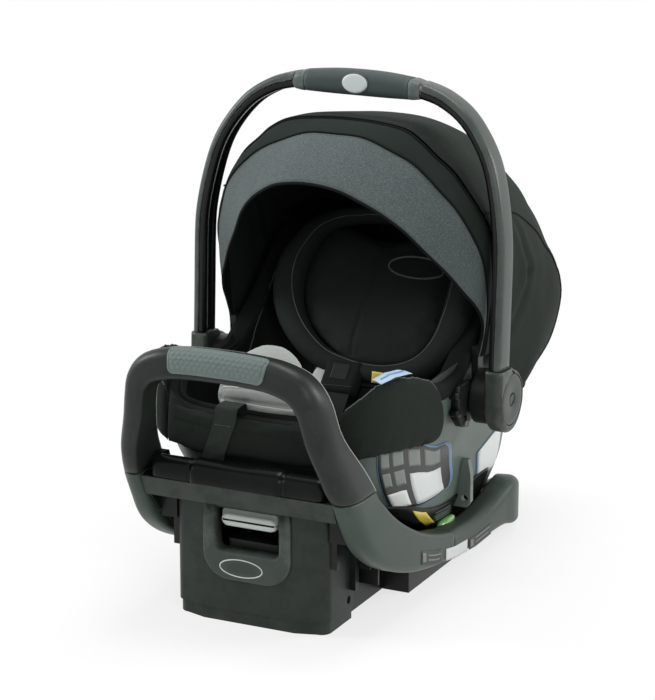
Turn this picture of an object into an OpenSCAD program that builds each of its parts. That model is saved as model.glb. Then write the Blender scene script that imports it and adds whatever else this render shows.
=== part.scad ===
// Rear-facing infant carrier on its base, with carry handle, canopy and anti-rebound bar.
// Millimetres. +Z up, -Y is the foot end with the anti-rebound bar, +Y the head end.
// Every piece is drawn with Y = 0 and X = 0 at the handle pivot, then moved by in_frame(),
// so that the origin lies on the floor in the middle of the footprint.

/* [Carrier] */
// Half the width of the carrier shell at the handle pivot
shell_hw = 165; // [155:1:175]
// Wall of the carrier shell
shell_wall = 4; // [3:0.5:5]
// Lowest point of the carrier shell above the floor
shell_floor_z = 58; // [56:1:64]
// Thickness of the foam liner over the shell floor at the seat's lowest point
foam_depth = 44; // [36:1:50]
// Thickness of the sewn seat pad
pad_t = 10; // [6:1:14]
// Distance that the wing and leg pads wrap out over the shell
wrap_t = 9; // [6:1:11]

/* [Handle] */
// Height of the handle pivot above the floor
pivot_z = 237; // [234:1:246]
// Distance from the canopy's front hoop up to the top of the grip
grip_over = 64; // [58:1:72]
// Thickness of the handle leg across its width
leg_t = 17; // [15:1:19]
// Depth of the handle leg from front to back
leg_d = 37; // [32:1:40]
// Height of the grip at its middle
grip_h = 32; // [28:1:34]
// Lean of the handle towards the head end at rest, in degrees
handle_lean = 2.7; // [0:0.1:4]
// Half the length of the soft grip
grip_hl = 72; // [60:1:76]
// Width of each end collar of the grip
collar_w = 16; // [10:1:20]
// Radius of the round hub disc at the foot of each leg
hub_r = 38; // [36:1:40]
// Radius of the push button
button_r = 33; // [30:0.5:33.5]
// How far the push button stands out of the hub
button_out = 2; // [1:0.5:4]
// Radius of the steel hub axle
axle_r = 8; // [6:0.5:9]
// Thickness of the fixed hub housing
housing_t = 20; // [16:1:22]
// Thickness of the turning hub disc
hub_t = 21.5; // [20:0.5:23]
// Thickness of the canopy arm that sits on the housing's boss
arm_t = 9; // [6:1:11]

/* [Canopy] */
// Distance that the canopy's hoops stand out beyond the shell on each side
canopy_out = 23; // [20:1:25]
// Radius of the canopy's front hoop about the pivot
canopy_r = 336; // [334:1:344]
// Thickness of the canopy fabric with its lining
canopy_t = 2; // [1.5:0.5:3]

/* [Headrest] */
// Half the width of the head and body support
head_hw = 116; // [104:1:118]
// Length of the head and body support along the seat back
head_len = 178; // [160:1:185]
// Thickness of the head and body support at its centre
head_t = 26; // [20:1:30]

/* [Base] */
// Distance from the centre plane to the inner face of each side rail
rail_in = 130; // [128:1:134]
// Width of each side rail at the seat
rail_w = 35; // [30:1:40]
// Wall of the base mouldings
base_wall = 4; // [3:0.5:5]
// Thickness of the deck plate
deck_t = 4; // [3:0.5:5]
// Height of the front of the deck above the floor
deck_front_z = 186; // [182:1:188]
// Height of the flat seat of the deck above the floor
deck_seat_z = 46; // [42:1:48]
// Radius of the steel latch bars
latch_r = 4; // [3:0.5:5]

/* [Anti-rebound bar] */
// Height of the top of the bar above the floor
bar_top_z = 369; // [355:1:380]
// Height of the bar's tube section at its middle
bar_h = 38; // [32:1:42]
// Distance from the pivot forward to the front face of the bar
bar_front = 378; // [370:1:384]
// Wall of the bar's moulded cover
bar_wall = 3; // [2:0.5:4]
// Outer radius of the steel tube inside the bar
bar_tube_r = 9; // [7:0.5:10]
// Half the length of the textured grip pad on the bar
bar_pad_hl = 64; // [50:1:70]

/* [Recline foot] */
// Half the width of the recline foot
foot_hw = 104; // [98:1:107]
// Depth of the recline foot from front to back
foot_d = 74; // [64:1:78]
// Height of the recline foot
foot_h = 166; // [158:1:170]
// Wall of the recline foot
foot_wall = 4; // [3:0.5:5]
// Height of the rounded skid bar under the foot
skid_h = 16; // [12:1:20]
// Distance that the foot slides out
foot_travel = 36; // [20:1:40]

/* [Fits] */
// Radial clearance of a pin or shaft in its hole
fit = 0.06; // [0.02:0.01:0.1]
// Gap between faces of different moving bodies
gap = 0.4; // [0.3:0.05:0.6]

/* [Hidden] */
$fn = 64;

pivot_y = 35;                       // places the origin under the middle of the footprint
detail = 3;                         // spline steps between two path points

// stack of pieces along the pivot axis, from the shell outwards
handle_rise = canopy_r + grip_over;             // from the pivot up to the top of the grip
canopy_hw = shell_hw + canopy_out;
boss_r = 16;
boss_end = shell_hw + 2 + arm_t + 2 * gap;      // where the housing's flange starts
housing_end = boss_end + housing_t;
hub_in = housing_end + gap;
hub_out = hub_in + hub_t;
button_face = hub_out + button_out;
button_t = 11;
button_travel = 4;
pocket_floor = button_face - button_t - button_travel - 1;
leg_out = hub_out + 2.3;
leg_mid = leg_out - leg_t / 2;

// ---- helpers -------------------------------------------------------------------------------
UP = [0, 0, 1];
DOWN = [0, 0, -1];
HEADWARD = [0, 1, 0];
function unit(v) = v / norm(v);
function curve(a, b, c, d, t) =
    0.5 * (2 * b + (c - a) * t + (2 * a - 5 * b + 4 * c - d) * t * t
           + (3 * b - a - 3 * c + d) * t * t * t);
// smooth path through the points p, with n steps between neighbours
function spline(p, n = detail) =
    let (m = len(p))
    [for (i = [0:m - 2], k = [0:n - 1])
        curve(p[max(i - 1, 0)], p[i], p[i + 1], p[min(i + 2, m - 1)], k / n), p[m - 1]];
// outline of a rounded rectangle, c + 1 points to a corner
function round_rect(w, h, r, c = 2) =
    [for (q = [0:3], i = [0:c])
        let (a = 90 * q + 90 * i / c, sx = (q == 0 || q == 3) ? 1 : -1, sy = q < 2 ? 1 : -1)
        [sx * (w / 2 - r) + r * cos(a), sy * (h / 2 - r) + r * sin(a)]];
// a path of [x, y, z, width, depth, corner] becomes rings across it; depth lies along ref.
// first and last, where given, are the directions that the two end rings face, so that two
// mouldings can meet on one plane.
function rings_along(path, ref, grow = 0, first = undef, last = undef) =
    let (m = len(path))
    [for (i = [0:m - 1])
        let (here = path[i], before = path[max(i - 1, 0)], after = path[min(i + 1, m - 1)],
             at = [here[0], here[1], here[2]],
             run = [after[0] - before[0], after[1] - before[1], after[2] - before[2]],
             dir = i == 0 && first != undef ? first : i == m - 1 && last != undef ? last : unit(run),
             deep = unit(ref - (ref * dir) * dir), side = cross(deep, dir),
             r = max(here[5] + grow, 0.6))
        [for (q = round_rect(here[3] + 2 * grow, here[4] + 2 * grow, r)) at + q[0] * side + q[1] * deep]];
function mirrored(path) =
    concat([for (i = [len(path) - 1:-1:1]) let (p = path[i]) [-p[0], p[1], p[2], p[3], p[4], p[5]]], path);
function sgn_pow(v, e) = sign(v) * pow(abs(v), e);

// solid through a list of rings that all have the same number of points
module skin(rings) {
    n = len(rings);
    m = len(rings[0]);
    polyhedron(
        points = [for (r = rings) each r],
        faces = concat([[for (j = [0:m - 1]) j]],
            [for (i = [0:n - 2], j = [0:m - 1])
                let (a = i * m + j, b = i * m + (j + 1) % m, c = a + m, d = b + m)
                each [[a, c, b], [b, c, d]]],
            [[for (j = [m - 1:-1:0]) (n - 1) * m + j]]));
}
// open-ended tube between outer and inner rings
module tube(outer, inner) {
    n = len(outer);
    m = len(outer[0]);
    all = concat(outer, [for (i = [n - 1:-1:0]) inner[i]]);
    k = len(all);
    polyhedron(
        points = [for (r = all) each r],
        faces = [for (i = [0:k - 1], j = [0:m - 1])
            let (i2 = (i + 1) % k, a = i * m + j, b = i * m + (j + 1) % m,
                 c = i2 * m + j, d = i2 * m + (j + 1) % m)
            each [[a, c, b], [b, c, d]]]);
}
// closed sheet between two grids of points, outer and inner
module sheet(outer, inner) {
    n = len(outer);
    m = len(outer[0]);
    k = n * m;
    polyhedron(
        points = [for (g = [outer, inner], r = g) each r],
        faces = concat(
            [for (i = [0:n - 2], j = [0:m - 2])
                let (a = i * m + j, b = a + 1, c = a + m, d = c + 1)
                each [[a, c, b], [b, c, d], [a + k, b + k, c + k], [b + k, d + k, c + k]]],
            [for (j = [0:m - 2], i = [0, n - 1])
                let (a = i * m + j, b = a + 1)
                each i == 0 ? [[a, b, a + k], [b, b + k, a + k]] : [[a, a + k, b], [b, a + k, b + k]]],
            [for (i = [0:n - 2], j = [0, m - 1])
                let (a = i * m + j, c = a + m)
                each j == 0 ? [[a, a + k, c], [c, a + k, c + k]] : [[a, c, a + k], [c, c + k, a + k]]]));
}
module in_frame() translate([0, pivot_y, 0]) children();
module both_sides() {
    children();
    mirror([1, 0, 0]) children();
}
// a profile of [y, z] points extruded across the width from x0 to x1
module across(x0, x1, profile)
    translate([x0, 0, 0]) rotate([90, 0, 90]) linear_extrude(x1 - x0) polygon(profile);
// rod along X
module rod(x0, x1, y, z, r) translate([x0, y, z]) rotate([0, 90, 0]) cylinder(h = x1 - x0, r = r);

// ---- base ----------------------------------------------------------------------------------
keel_front = -203;
keel_hw = 93;
pan_front = -111;
pan_rear = 205;
tray_hw = rail_in - gap / 2;
// top of the deck in side view, foot end to head end: [y, z above the deck's flat seat, share of rise]
deck_rise = deck_front_z - deck_seat_z;
deck_curve = [[-322, 1], [-292, 1], [-268, 0.86], [-240, 0.66], [-200, 0.41], [-150, 0.2],
              [-100, 0.07], [-60, 0], [pan_rear, 0]];
function deck_z(y) = deck_seat_z + deck_rise * lookup(y, deck_curve);
function deck_line(drop) = [for (p = deck_curve) [p[0], deck_seat_z + deck_rise * p[1] - drop]];
// underside of the side rails, in side view
rail_under = [[-333, 168], [-296, 121], [-243, 80], [-182, 53], [-116, 37]];

beam_y = -315;                      // foot end face of the beam under the deck's front
module pan_outline(inset)
    polygon([[-tray_hw + inset, pan_front + inset], [tray_hw - inset, pan_front + inset],
             [tray_hw - inset, 150], [112 - inset, 190 - inset], [86 - inset, pan_rear - inset],
             [-86 + inset, pan_rear - inset], [-112 + inset, 190 - inset], [-tray_hw + inset, 150]]);

module base_tray() color([0.07, 0.075, 0.07]) in_frame() {
    under = deck_seat_z - deck_t;
    difference() {
        union() {
            linear_extrude(under) pan_outline(0);
            translate([-keel_hw, keel_front, 0]) cube([2 * keel_hw, pan_front - keel_front + 10, under]);
        }
        translate([0, 0, base_wall]) linear_extrude(under) pan_outline(base_wall);
        translate([-keel_hw + base_wall, keel_front + base_wall, base_wall])
            cube([2 * (keel_hw - base_wall), pan_front - keel_front + 14, under]);
        feet(base_wall + 1, foot_pad_r + fit, -1);
    }
    // stiffening ribs inside the pan
    for (x = [-75, -25, 25, 75])
        translate([x - 1.5, keel_front + 2, 2]) cube([3, 320, under - 2.2]);
    // side walls from the pan up to the front beam
    both_sides() across(tray_hw - base_wall, tray_hw,
        concat([[beam_y, deck_front_z - deck_t]], [for (i = [1:6]) deck_line(deck_t)[i]],
               [[-95, under], [-95, 4]], [for (i = [4:-1:1]) rail_under[i] + [6, 8]], [[beam_y, 158]]));
    // bulkhead behind the foot and beam under the deck's front
    translate([-tray_hw, keel_front, under - 1])
        cube([2 * tray_hw, base_wall, deck_z(keel_front + base_wall) - deck_t - under + 0.8]);
    translate([-tray_hw, beam_y, 160]) cube([2 * tray_hw, 8, deck_front_z - deck_t - 160]);
    // channels that guide the recline foot
    both_sides() for (c = [[guide_y[0] - 5, 120], [guide_y[1] + guide_d + 1, 66]])
        translate([foot_hw + gap, c[0], c[1]])
            cube([tray_hw - foot_hw - gap - base_wall + 0.5, 4, deck_z(c[0] + 4) - deck_t - 0.5 - c[1]]);
}

lid_hw = 60;                        // half the length of the lid in the deck's nose
nose_r = 13;
// section of the nose, grown by more, from the given height above the deck's front
function nose_profile(more, from) =
    let (y = -318, z = deck_front_z + nose_r - 1, r = nose_r + more)
    concat([[y - r, deck_front_z + from]], [for (a = [180:-15:0]) [y + r * cos(a), z + r * sin(a)]],
           [[y + r, deck_front_z + from]]);
module base_deck() color([0.03, 0.03, 0.03]) in_frame()
    difference() {
        union() {
            across(-tray_hw, tray_hw, concat(deck_line(0), [for (i = [8:-1:0]) deck_line(deck_t)[i]]));
            rod(-tray_hw, tray_hw, -320.6, deck_front_z - 4.5, 4.5);
            // rounded nose along the front, on both sides of the lid
            both_sides() across(lid_hw + 1.5, tray_hw - 24, nose_profile(0, -0.5));
            // raised cheeks beside the anti-rebound bar's legs
            both_sides() across(tray_hw - 22, tray_hw - 10,
                [[-317, deck_front_z - 1], [-317, deck_front_z + 17], [-309, deck_front_z + 25],
                 [-298, deck_front_z + 25], [-287, deck_front_z - 3]]);
        }
        both_sides() translate([tray_hw, 205, 0]) rotate([0, 0, 45]) cube([68, 68, 200], center = true);
        // passage for the vehicle belt
        translate([-60, -88, 0]) cube([120, 26, 200]);
        // slot for the rear hooks
        translate([-hook_x - 12, latch_y[1] - 12, 0]) cube([2 * hook_x + 24, 24, 200]);
    }

module deck_lid() color([0.04, 0.04, 0.04]) in_frame() across(-lid_hw, lid_hw, nose_profile(1.2, 0.2));

module front_apron() color([0.2, 0.22, 0.21]) in_frame() {
    across(-tray_hw, tray_hw,
        [[-332, deck_front_z - 1], [-320, 158], [-316, 158], [-327.5, deck_front_z - 1]]);
    for (x = [-100, -50, 0, 50, 100])
        across(x - 1.5, x + 1.5, [[-326, 175], [-321, 164], [-317.5, 164], [-317.5, 175]]);
}

// side rail from the split under the bar back to the seam beside the seat
split_y = -304;
split_z = 187;
rail_path = [[rail_in + 14, split_y, split_z, 28, 72, 10], [rail_in + 14.5, -288, 162, 29, 66, 10],
             [rail_in + 15.5, -265, 135, 31, 66, 10], [rail_in + 16.5, -225, 106, 33, 62, 10],
             [rail_in + rail_w / 2, -170, 79, rail_w, 54, 10],
             [rail_in + rail_w / 2, -110, 60, rail_w, 45, 9], [rail_in + rail_w / 2, -50, 48, rail_w, 38, 9]];
rim_path = [[0, 232, 20, 30, 32, 7], [50, 231, 21, 30, 34, 7], [92, 224, 24, 31, 38, 8],
            [118, 208, 30, 32, 50, 9], [rail_in + 8, 184, 38, 34, 60, 10],
            [rail_in + rail_w / 2, 156, 46, rail_w, 64, 10],
            [rail_in + rail_w / 2, 124, 46, rail_w, 50, 9], [rail_in + rail_w / 2, 80, 43, rail_w, 38, 9],
            [rail_in + rail_w / 2, 20, 42, rail_w, 34, 9], [rail_in + rail_w / 2, -49.7, 48, rail_w, 38, 9]];

module side_rail() {
    path = spline(rail_path);
    ref = [0, 0.8, 0.6];
    tube(rings_along(path, ref, 0, DOWN, HEADWARD), rings_along(path, ref, -bar_wall, DOWN, HEADWARD));
}
module side_rail_right() color([0.22, 0.24, 0.23]) in_frame() side_rail();
module side_rail_left() color([0.22, 0.24, 0.23]) in_frame() mirror([1, 0, 0]) side_rail();
module rear_rim() color([0.22, 0.24, 0.23]) in_frame() {
    path = spline(mirrored(rim_path), 2);
    tube(rings_along(path, UP, 0, HEADWARD, -HEADWARD),
         rings_along(path, UP, -bar_wall, HEADWARD, -HEADWARD));
}

bar_mid_z = bar_top_z - bar_h / 2;
bar_mid_y = 18 - bar_front;
bar_path = [[0, bar_mid_y, bar_mid_z, bar_h, 36, 14],
            [45, bar_mid_y, bar_mid_z - 1, bar_h, 36, 14],
            [76, bar_mid_y, bar_mid_z - 5, bar_h, 37, 14],
            [101, bar_mid_y + 2, bar_mid_z - 17, bar_h - 1, 38, 14],
            [116, bar_mid_y + 5, bar_mid_z - 42, bar_h - 4, 40, 13],
            [125, bar_mid_y + 14, bar_mid_z - 84, 32, 44, 11],
            [rail_in + 6, bar_mid_y + 31, 226, 30, 56, 11],
            [rail_in + 14, split_y, split_z + 0.3, 28, 72, 10]];

bar_ref = [0, -1, 0.2];
module anti_rebound_bar() color([0.2, 0.22, 0.21]) in_frame() {
    path = spline(mirrored(bar_path), 2);
    tube(rings_along(path, bar_ref, 0, UP, DOWN), rings_along(path, bar_ref, -bar_wall, UP, DOWN));
}
module bar_tube() color("silver") in_frame() {
    d = 2 * bar_tube_r;
    path = spline(mirrored([for (p = bar_path) [p[0], p[1], p[2], d, d, bar_tube_r]]), 2);
    skin(rings_along(path, bar_ref, 0, UP, DOWN));
}
bar_line = spline(mirrored(bar_path), 2);
function bar_z(x) = lookup(x, [for (p = bar_line) [p[0], p[2]]]);
pad_profile = [[-bar_h / 2 + 0.7, -7], [-bar_h / 2 - 1.3, -7], [-bar_h / 2 - 1.3, 6],
               [-15.5, bar_h / 2 - 2.2], [-4, bar_h / 2 + 2.2], [-4, bar_h / 2 + 0.3],
               [-14.3, bar_h / 2 - 3.7], [-bar_h / 2 + 0.7, 5.2]];
bar_up = unit([0, 0.2, 1]);
bar_back = unit([0, 1, -0.2]);
module bar_grip_pad() color([0.36, 0.4, 0.42]) in_frame()
    skin([for (i = [6:-1:-6])
        let (x = bar_pad_hl * i / 6)
        [for (q = pad_profile) [x, bar_mid_y, bar_z(x)] + q[0] * bar_back + q[1] * bar_up]]);

module cradle_pads() color([0.1, 0.1, 0.1]) in_frame()
    both_sides() for (y = [-52, 50])
        translate([48, y, deck_seat_z + 0.1]) cube([14, 72, shell_floor_z - deck_seat_z - gap]);

// steel bars in the base that the carrier's hooks reach, and the place of the hooks across the width
latch_y = [-150, 150];
latch_z = [deck_z(-150) + 10.5, deck_seat_z - 10];
hook_x = 84;
latch_hw = 112;
module latch_bars() color("silver") in_frame() {
    for (i = [0, 1]) rod(-latch_hw, latch_hw, latch_y[i], latch_z[i], latch_r);
    both_sides() {
        across(latch_hw - 5, latch_hw + 1,
            [[latch_y[0] - 7, deck_z(latch_y[0] - 7) + 0.2], [latch_y[0] + 7, deck_z(latch_y[0] + 7) + 0.2],
             [latch_y[0] + 7, latch_z[0] + 6], [latch_y[0] - 7, latch_z[0] + 6]]);
        translate([latch_hw - 5, latch_y[1] - 7, base_wall + 0.2]) cube([6, 14, latch_z[1]]);
    }
}

bezel_x = [122.5, tray_hw - 0.2];
lens_r = 3;
module lens_rod(l, r) translate([(bezel_x[0] + bezel_x[1]) / 2, -8, deck_seat_z + 9.2]) rotate([90, 0, 0])
    cylinder(h = l, r = r, center = true);
module level_bezel() color([0.05, 0.05, 0.05]) in_frame()
    difference() {
        translate([bezel_x[0], -36, deck_seat_z + 0.1]) cube([bezel_x[1] - bezel_x[0], 58, 10.6]);
        lens_rod(46, lens_r + fit);
    }
module level_lens() color([0.45, 0.75, 0.35]) in_frame() lens_rod(45, lens_r);

foot_pad_r = 7;
module feet(h, r, z) both_sides() for (y = [-60, 140]) translate([84, y, z]) cylinder(h = h, r = r);
module base_feet() color([0.05, 0.05, 0.05]) in_frame() feet(base_wall + 2, foot_pad_r, 0);

// middle height of the side rail and the rim along their length
rail_mid = [[-170, 79], [-110, 60], [-50, 48], [20, 42], [80, 43]];
module rail_labels() color([0.8, 0.82, 0.8]) in_frame()
    for (span = [[-141, -77], [-68, 2], [10, 72]])
        let (ys = [for (i = [0:4]) span[0] + (span[1] - span[0]) * i / 4])
        across(rail_in + rail_w + 0.3, rail_in + rail_w + 0.8,
            concat([for (y = ys) [y, lookup(y, rail_mid) - 8]],
                   [for (y = reversed(ys)) [y, lookup(y, rail_mid) + 9]]));

// ---- recline foot --------------------------------------------------------------------------
foot_front = -292;
foot_rear = foot_front + foot_d;
window_hw = 45;
window_z = [92, 148];
guide_y = [-282, -230];              // foot end faces of the foot's guides
guide_d = 10;
foot_bow = 8;                        // how far the middle of the foot's front stands forward
module foot_plan(inset) {
    r = 13;
    x = foot_hw - inset;
    y = foot_front + inset;
    polygon(concat(
        [for (a = [180:15:270]) [-x + r + r * cos(a), y + r + r * sin(a)]],
        [[-62, y - foot_bow], [62, y - foot_bow]],
        [for (a = [270:15:360]) [x - r + r * cos(a), y + r + r * sin(a)]],
        [[x, foot_rear - inset], [-x, foot_rear - inset]]));
}
module foot_block() color([0.13, 0.14, 0.14]) in_frame()
    difference() {
        translate([0, 0, skid_h]) linear_extrude(foot_h - skid_h) foot_plan(0);
        translate([0, 0, skid_h + foot_wall]) linear_extrude(foot_h) foot_plan(foot_wall);
        translate([-window_hw, foot_front - foot_bow - 1, window_z[0]])
            cube([2 * window_hw, foot_wall + 2, window_z[1] - window_z[0]]);
        // the top follows the underside of the deck
        across(-foot_hw - 1, foot_hw + 1,
            concat([for (p = deck_curve) if (p[0] <= -100) [p[0], deck_z(p[0]) - deck_t - 3]],
                   [[-100, 250], [-322, 250]]));
        // cross hole for the skid's pin
        rod(-foot_hw - 1, foot_hw + 1, foot_rear - 14, skid_h + 12, 5);
    }
module foot_skid() color([0.15, 0.16, 0.16]) in_frame()
    difference() {
        linear_extrude(skid_h - 0.2) foot_plan(2);
        translate([0, 0, base_wall]) linear_extrude(skid_h) foot_plan(2 + foot_wall);
    }
module foot_guides() color([0.1, 0.1, 0.1]) in_frame()
    both_sides() {
        for (c = [[guide_y[0], 84], [guide_y[1], 40]])
            translate([foot_hw + 0.05, c[0], c[1]])
                cube([8, guide_d, deck_z(c[0] + guide_d) - deck_t - 3 - c[1]]);
    }
module foot_bezel() color([0.3, 0.33, 0.33]) in_frame() {
    r = 34;
    hw = 59;
    low = 58;
    translate([0, foot_front - foot_bow - 0.05, 0]) rotate([90, 0, 0]) linear_extrude(4)
        difference() {
            polygon(concat([[-hw, foot_h - 10]],
                [for (a = [180:10:270]) [-hw + r + r * cos(a), low + r + r * sin(a)]],
                [for (a = [270:10:360]) [hw - r + r * cos(a), low + r + r * sin(a)]],
                [[hw, foot_h - 10]]));
            translate([-window_hw, window_z[0]]) square([2 * window_hw, foot_h]);
        }
}
lever_y = foot_front - foot_bow;
module recline_lever() color([0.82, 0.85, 0.82]) in_frame()
    across(-40, 40, [[lever_y + 0.5, 122], [lever_y + 4, 118], [lever_y + 26, 122],
                     [lever_y + 26, 140], [lever_y + 22, 140], [lever_y + 22, 127], [lever_y + 6, 124],
                     [lever_y + 4, 140], [lever_y + 0.5, 140]]);
module lever_block() color([0.2, 0.21, 0.22]) in_frame()
    translate([-34, foot_front + foot_wall + 4, window_z[0] - 6])
        cube([68, foot_d - 2 * foot_wall - 4.2, 18]);

// ---- carrier -------------------------------------------------------------------------------
// top edge of the shell, in side view: [y, z]
rim_edge = [[-286, 256], [-240, 260], [-200, 273], [-160, 283], [-125, 279], [-95, 268], [-50, 268], [0, 290],
            [60, 342], [120, 392], [170, 412], [230, 404], [285, 378]];
function rim_z(y) = lookup(y, rim_edge);
// outline levels from floor to rim: [share of height, foot end y, head end y, half width share]
// the lowest levels stand between the side rails, so they take their width from them
shell_levels = spline([[0, -70, 204, (rail_in - 7.9) / shell_hw],
                       [0.06, -98, 216, (rail_in + 0.35) / shell_hw],
                       [0.14, -140, 230, (rail_in + 8.6) / shell_hw],
                       [0.25, -182, 240, 0.87], [0.42, -226, 250, 0.9], [0.64, -263, 262, 0.945],
                       [0.84, -280, 272, 0.98], [1, -286, 282, 1]], 2);
seat_levels = spline([[0, -150, -115, 0.5], [0.12, -168, -97, 0.62], [0.3, -195, -68, 0.74],
                      [0.55, -230, -20, 0.84], [0.8, -256, 66, 0.9], [0.9, -264, 124, 0.92],
                      [1, -271, 186, 0.94]], 2);
ring_n = 40;
plan_power = 4.5;
// one horizontal-ish ring of a bucket; inset moves it inwards, low is its lowest height
function bucket_point(level, angle, low, inset, lift) =
    let (front = level[1] + inset, back = level[2] - inset, hw = level[3] * shell_hw - inset,
         mid = (front + back) / 2, half = (back - front) / 2,
         x = hw * sgn_pow(cos(angle), 2 / plan_power), y = mid + half * sgn_pow(sin(angle), 2 / plan_power))
    [x, y, low + (rim_z(y) + lift - low) * level[0]];
function bucket_ring(level, low, inset, lift) =
    [for (i = [0:ring_n - 1]) bucket_point(level, 360 * i / ring_n, low, inset, lift)];
function bucket(levels, low, inset, lift = 0) = [for (l = levels) bucket_ring(l, low, inset, lift)];
function reversed(list) = [for (i = [len(list) - 1:-1:0]) list[i]];

module carrier_shell() color([0.33, 0.35, 0.35]) in_frame()
    skin(concat(bucket(shell_levels, shell_floor_z, 0),
                reversed(bucket(shell_levels, shell_floor_z + shell_wall, shell_wall))));

// everything inside the shell's outer face, to trim what sits on it
module shell_room() skin(bucket(shell_levels, shell_floor_z, -0.1));

seat_low = shell_floor_z + shell_wall + foam_depth;
pad_gap = 2.6;                      // between the foam liner and the seat pad
module foam_liner() color([0.85, 0.85, 0.85]) in_frame()
    skin(concat(bucket(shell_levels, shell_floor_z + shell_wall + 1, shell_wall + 1, -1),
                reversed(bucket(seat_levels, seat_low, 0, -1))));
module seat_pad() color([0.06, 0.06, 0.065]) in_frame()
    skin(concat(bucket(seat_levels, seat_low + pad_gap, pad_gap, -1),
                reversed(bucket(seat_levels, seat_low + pad_t, pad_t, 5))));

// padding that wraps the outside of the shell's foot end; its plan is a line over the shell's edge,
// each point [share of shell_hw, y]
wrap_plan = spline([for (p = [[0, -288], [0.315, -288], [0.594, -284], [0.776, -270], [0.897, -240],
                              [0.958, -196], [0.988, -150], [1, -104]]) [p[0] * shell_hw, p[1]]]);
wrap_n = len(wrap_plan) - 1;
// unit vector out of the plan line at point i
function wrap_out(i) =
    let (a = wrap_plan[max(i - 1, 0)], b = wrap_plan[min(i + 1, wrap_n)], d = unit(b - a)) [d[1], -d[0]];
function wrap_point(i, out, z) =
    let (p = wrap_plan[i] + out * wrap_out(i)) [p[0], p[1], z];
// ring of the padding at place i along the plan line, which may lie between two of its points
function wrap_ring(i, low, high) =
    let (a = floor(i), f = i - a, b = min(a + 1, wrap_n), t = i / wrap_n,
         z0 = lookup(t, low), z1 = lookup(t, high))
    [for (q = [[0.5, z0 + 3], [0.5, z1 - 3], [wrap_t * 0.6, z1], [wrap_t - 1, z1 - 9],
               [wrap_t, (z0 + z1) / 2], [wrap_t - 1, z0 + 9], [wrap_t * 0.6, z0]])
        wrap_point(a, q[0], q[1]) * (1 - f) + wrap_point(b, q[0], q[1]) * f];
function flipped(ring) = [for (p = ring) [-p[0], p[1], p[2]]];
wrap_low = [[0, 206], [0.2, 206], [0.33, 214], [0.45, 221], [0.6, 219], [0.8, 211], [0.9, 206], [1, 212]];
wrap_high = [[0, 268], [0.25, 269], [0.33, 282], [0.43, 301], [0.52, 316], [0.6, 321], [0.68, 319], [0.8, 309],
             [0.89, 296], [0.95, 277], [1, 258]];
wing_start = 9;
module wing_pad() skin([for (i = concat([wing_start + 0.05], [for (k = [wing_start + 1:wrap_n]) k]))
    wrap_ring(i, wrap_low, wrap_high)]);
module wing_pad_right() color([0.07, 0.075, 0.075]) in_frame() wing_pad();
module wing_pad_left() color([0.07, 0.075, 0.075]) in_frame() mirror([1, 0, 0]) wing_pad();
module leg_roll() color([0.07, 0.075, 0.075]) in_frame()
    skin([for (i = [-wing_start:wing_start])
        i < 0 ? flipped(wrap_ring(-i, wrap_low, wrap_high)) : wrap_ring(i, wrap_low, wrap_high)]);

// cushion that stands at the front of the seat: [y, z, half width, half thickness]
insert_path = spline([[-230, 238, 54, 7], [-243, 256, 62, 11], [-254, 271, 64, 12], [-252, 287, 60, 14],
                      [-244, 306, 48, 15], [-235, 322, 34, 14], [-229, 333, 18, 9], [-226, 338, 6, 4]], 2);
module infant_insert() color([0.68, 0.7, 0.7]) in_frame()
    skin([for (p = insert_path)
        [for (a = [0:24:336]) [p[2] * sgn_pow(cos(a), 0.8), p[0] + p[3] * sgn_pow(sin(a), 0.8), p[1]]]]);

// belt guides: an upright fin on each side of the shell, with an eye near its foot
fin_y = 24;
fin_low = 78;
fin_high = 143;
fin_t = 9;
fin_reach = 17;                    // how far its edge stands out from its root
fin_eye_r = 4.5;
module belt_guides() color([0.3, 0.32, 0.32]) in_frame()
    difference() {
        both_sides() translate([0.86 * shell_hw, fin_y, fin_low]) rotate([90, 0, 0]) linear_extrude(fin_t)
            difference() {
                polygon([[-22, 0], [fin_reach - 6, 0], [fin_reach, 8], [fin_reach, fin_high - fin_low - 20],
                         [fin_reach - 4, fin_high - fin_low], [-22, fin_high - fin_low]]);
                translate([fin_reach - 8.5, 12]) circle(fin_eye_r);
            }
        shell_room();
    }

module latch_hooks() color("silver") in_frame()
    difference() {
        for (i = [0, 1], s = [-1, 1])
            translate([s * hook_x - 3, latch_y[i] + latch_r + 1.2, latch_z[i] - 5]) cube([6, 5, 28]);
        shell_room();
    }

release_y = 254;
release_z = 148;
release_hw = 56;
release_travel = 8;
module release_housing() color([0.08, 0.08, 0.08]) in_frame()
    difference() {
        translate([-release_hw - 8, release_y - 26, release_z - 30]) cube([2 * release_hw + 16, 40, 58]);
        translate([-release_hw - gap, release_y - gap, release_z - 31])
            cube([2 * release_hw + 2 * gap, 10 + 2 * gap, 53]);
        shell_room();
    }
module release_lever() color([0.5, 0.52, 0.52]) in_frame()
    translate([-release_hw, release_y, release_z - 24]) cube([2 * release_hw, 10, 46 - release_travel - 1]);

// hub housing: boss that carries the canopy arm, flange that the handle hub turns against
module hub_housing() difference() {
    union() {
        rod(shell_hw - 1, boss_end + 0.5, 0, pivot_z, boss_r);
        rod(boss_end, housing_end, 0, pivot_z, hub_r - 3);
        translate([shell_hw - 2.6, -20, pivot_z - 34]) cube([2.6, 40, 54]);
    }
    rod(boss_end - 6, housing_end + 1, 0, pivot_z, axle_r);
}
module hub_housing_right() color([0.06, 0.06, 0.06]) in_frame() hub_housing();
module hub_housing_left() color([0.06, 0.06, 0.06]) in_frame() mirror([1, 0, 0]) hub_housing();
module hub_axles() color("silver") in_frame()
    both_sides() rod(boss_end - 6, pocket_floor - 0.5, 0, pivot_z, axle_r);

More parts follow.
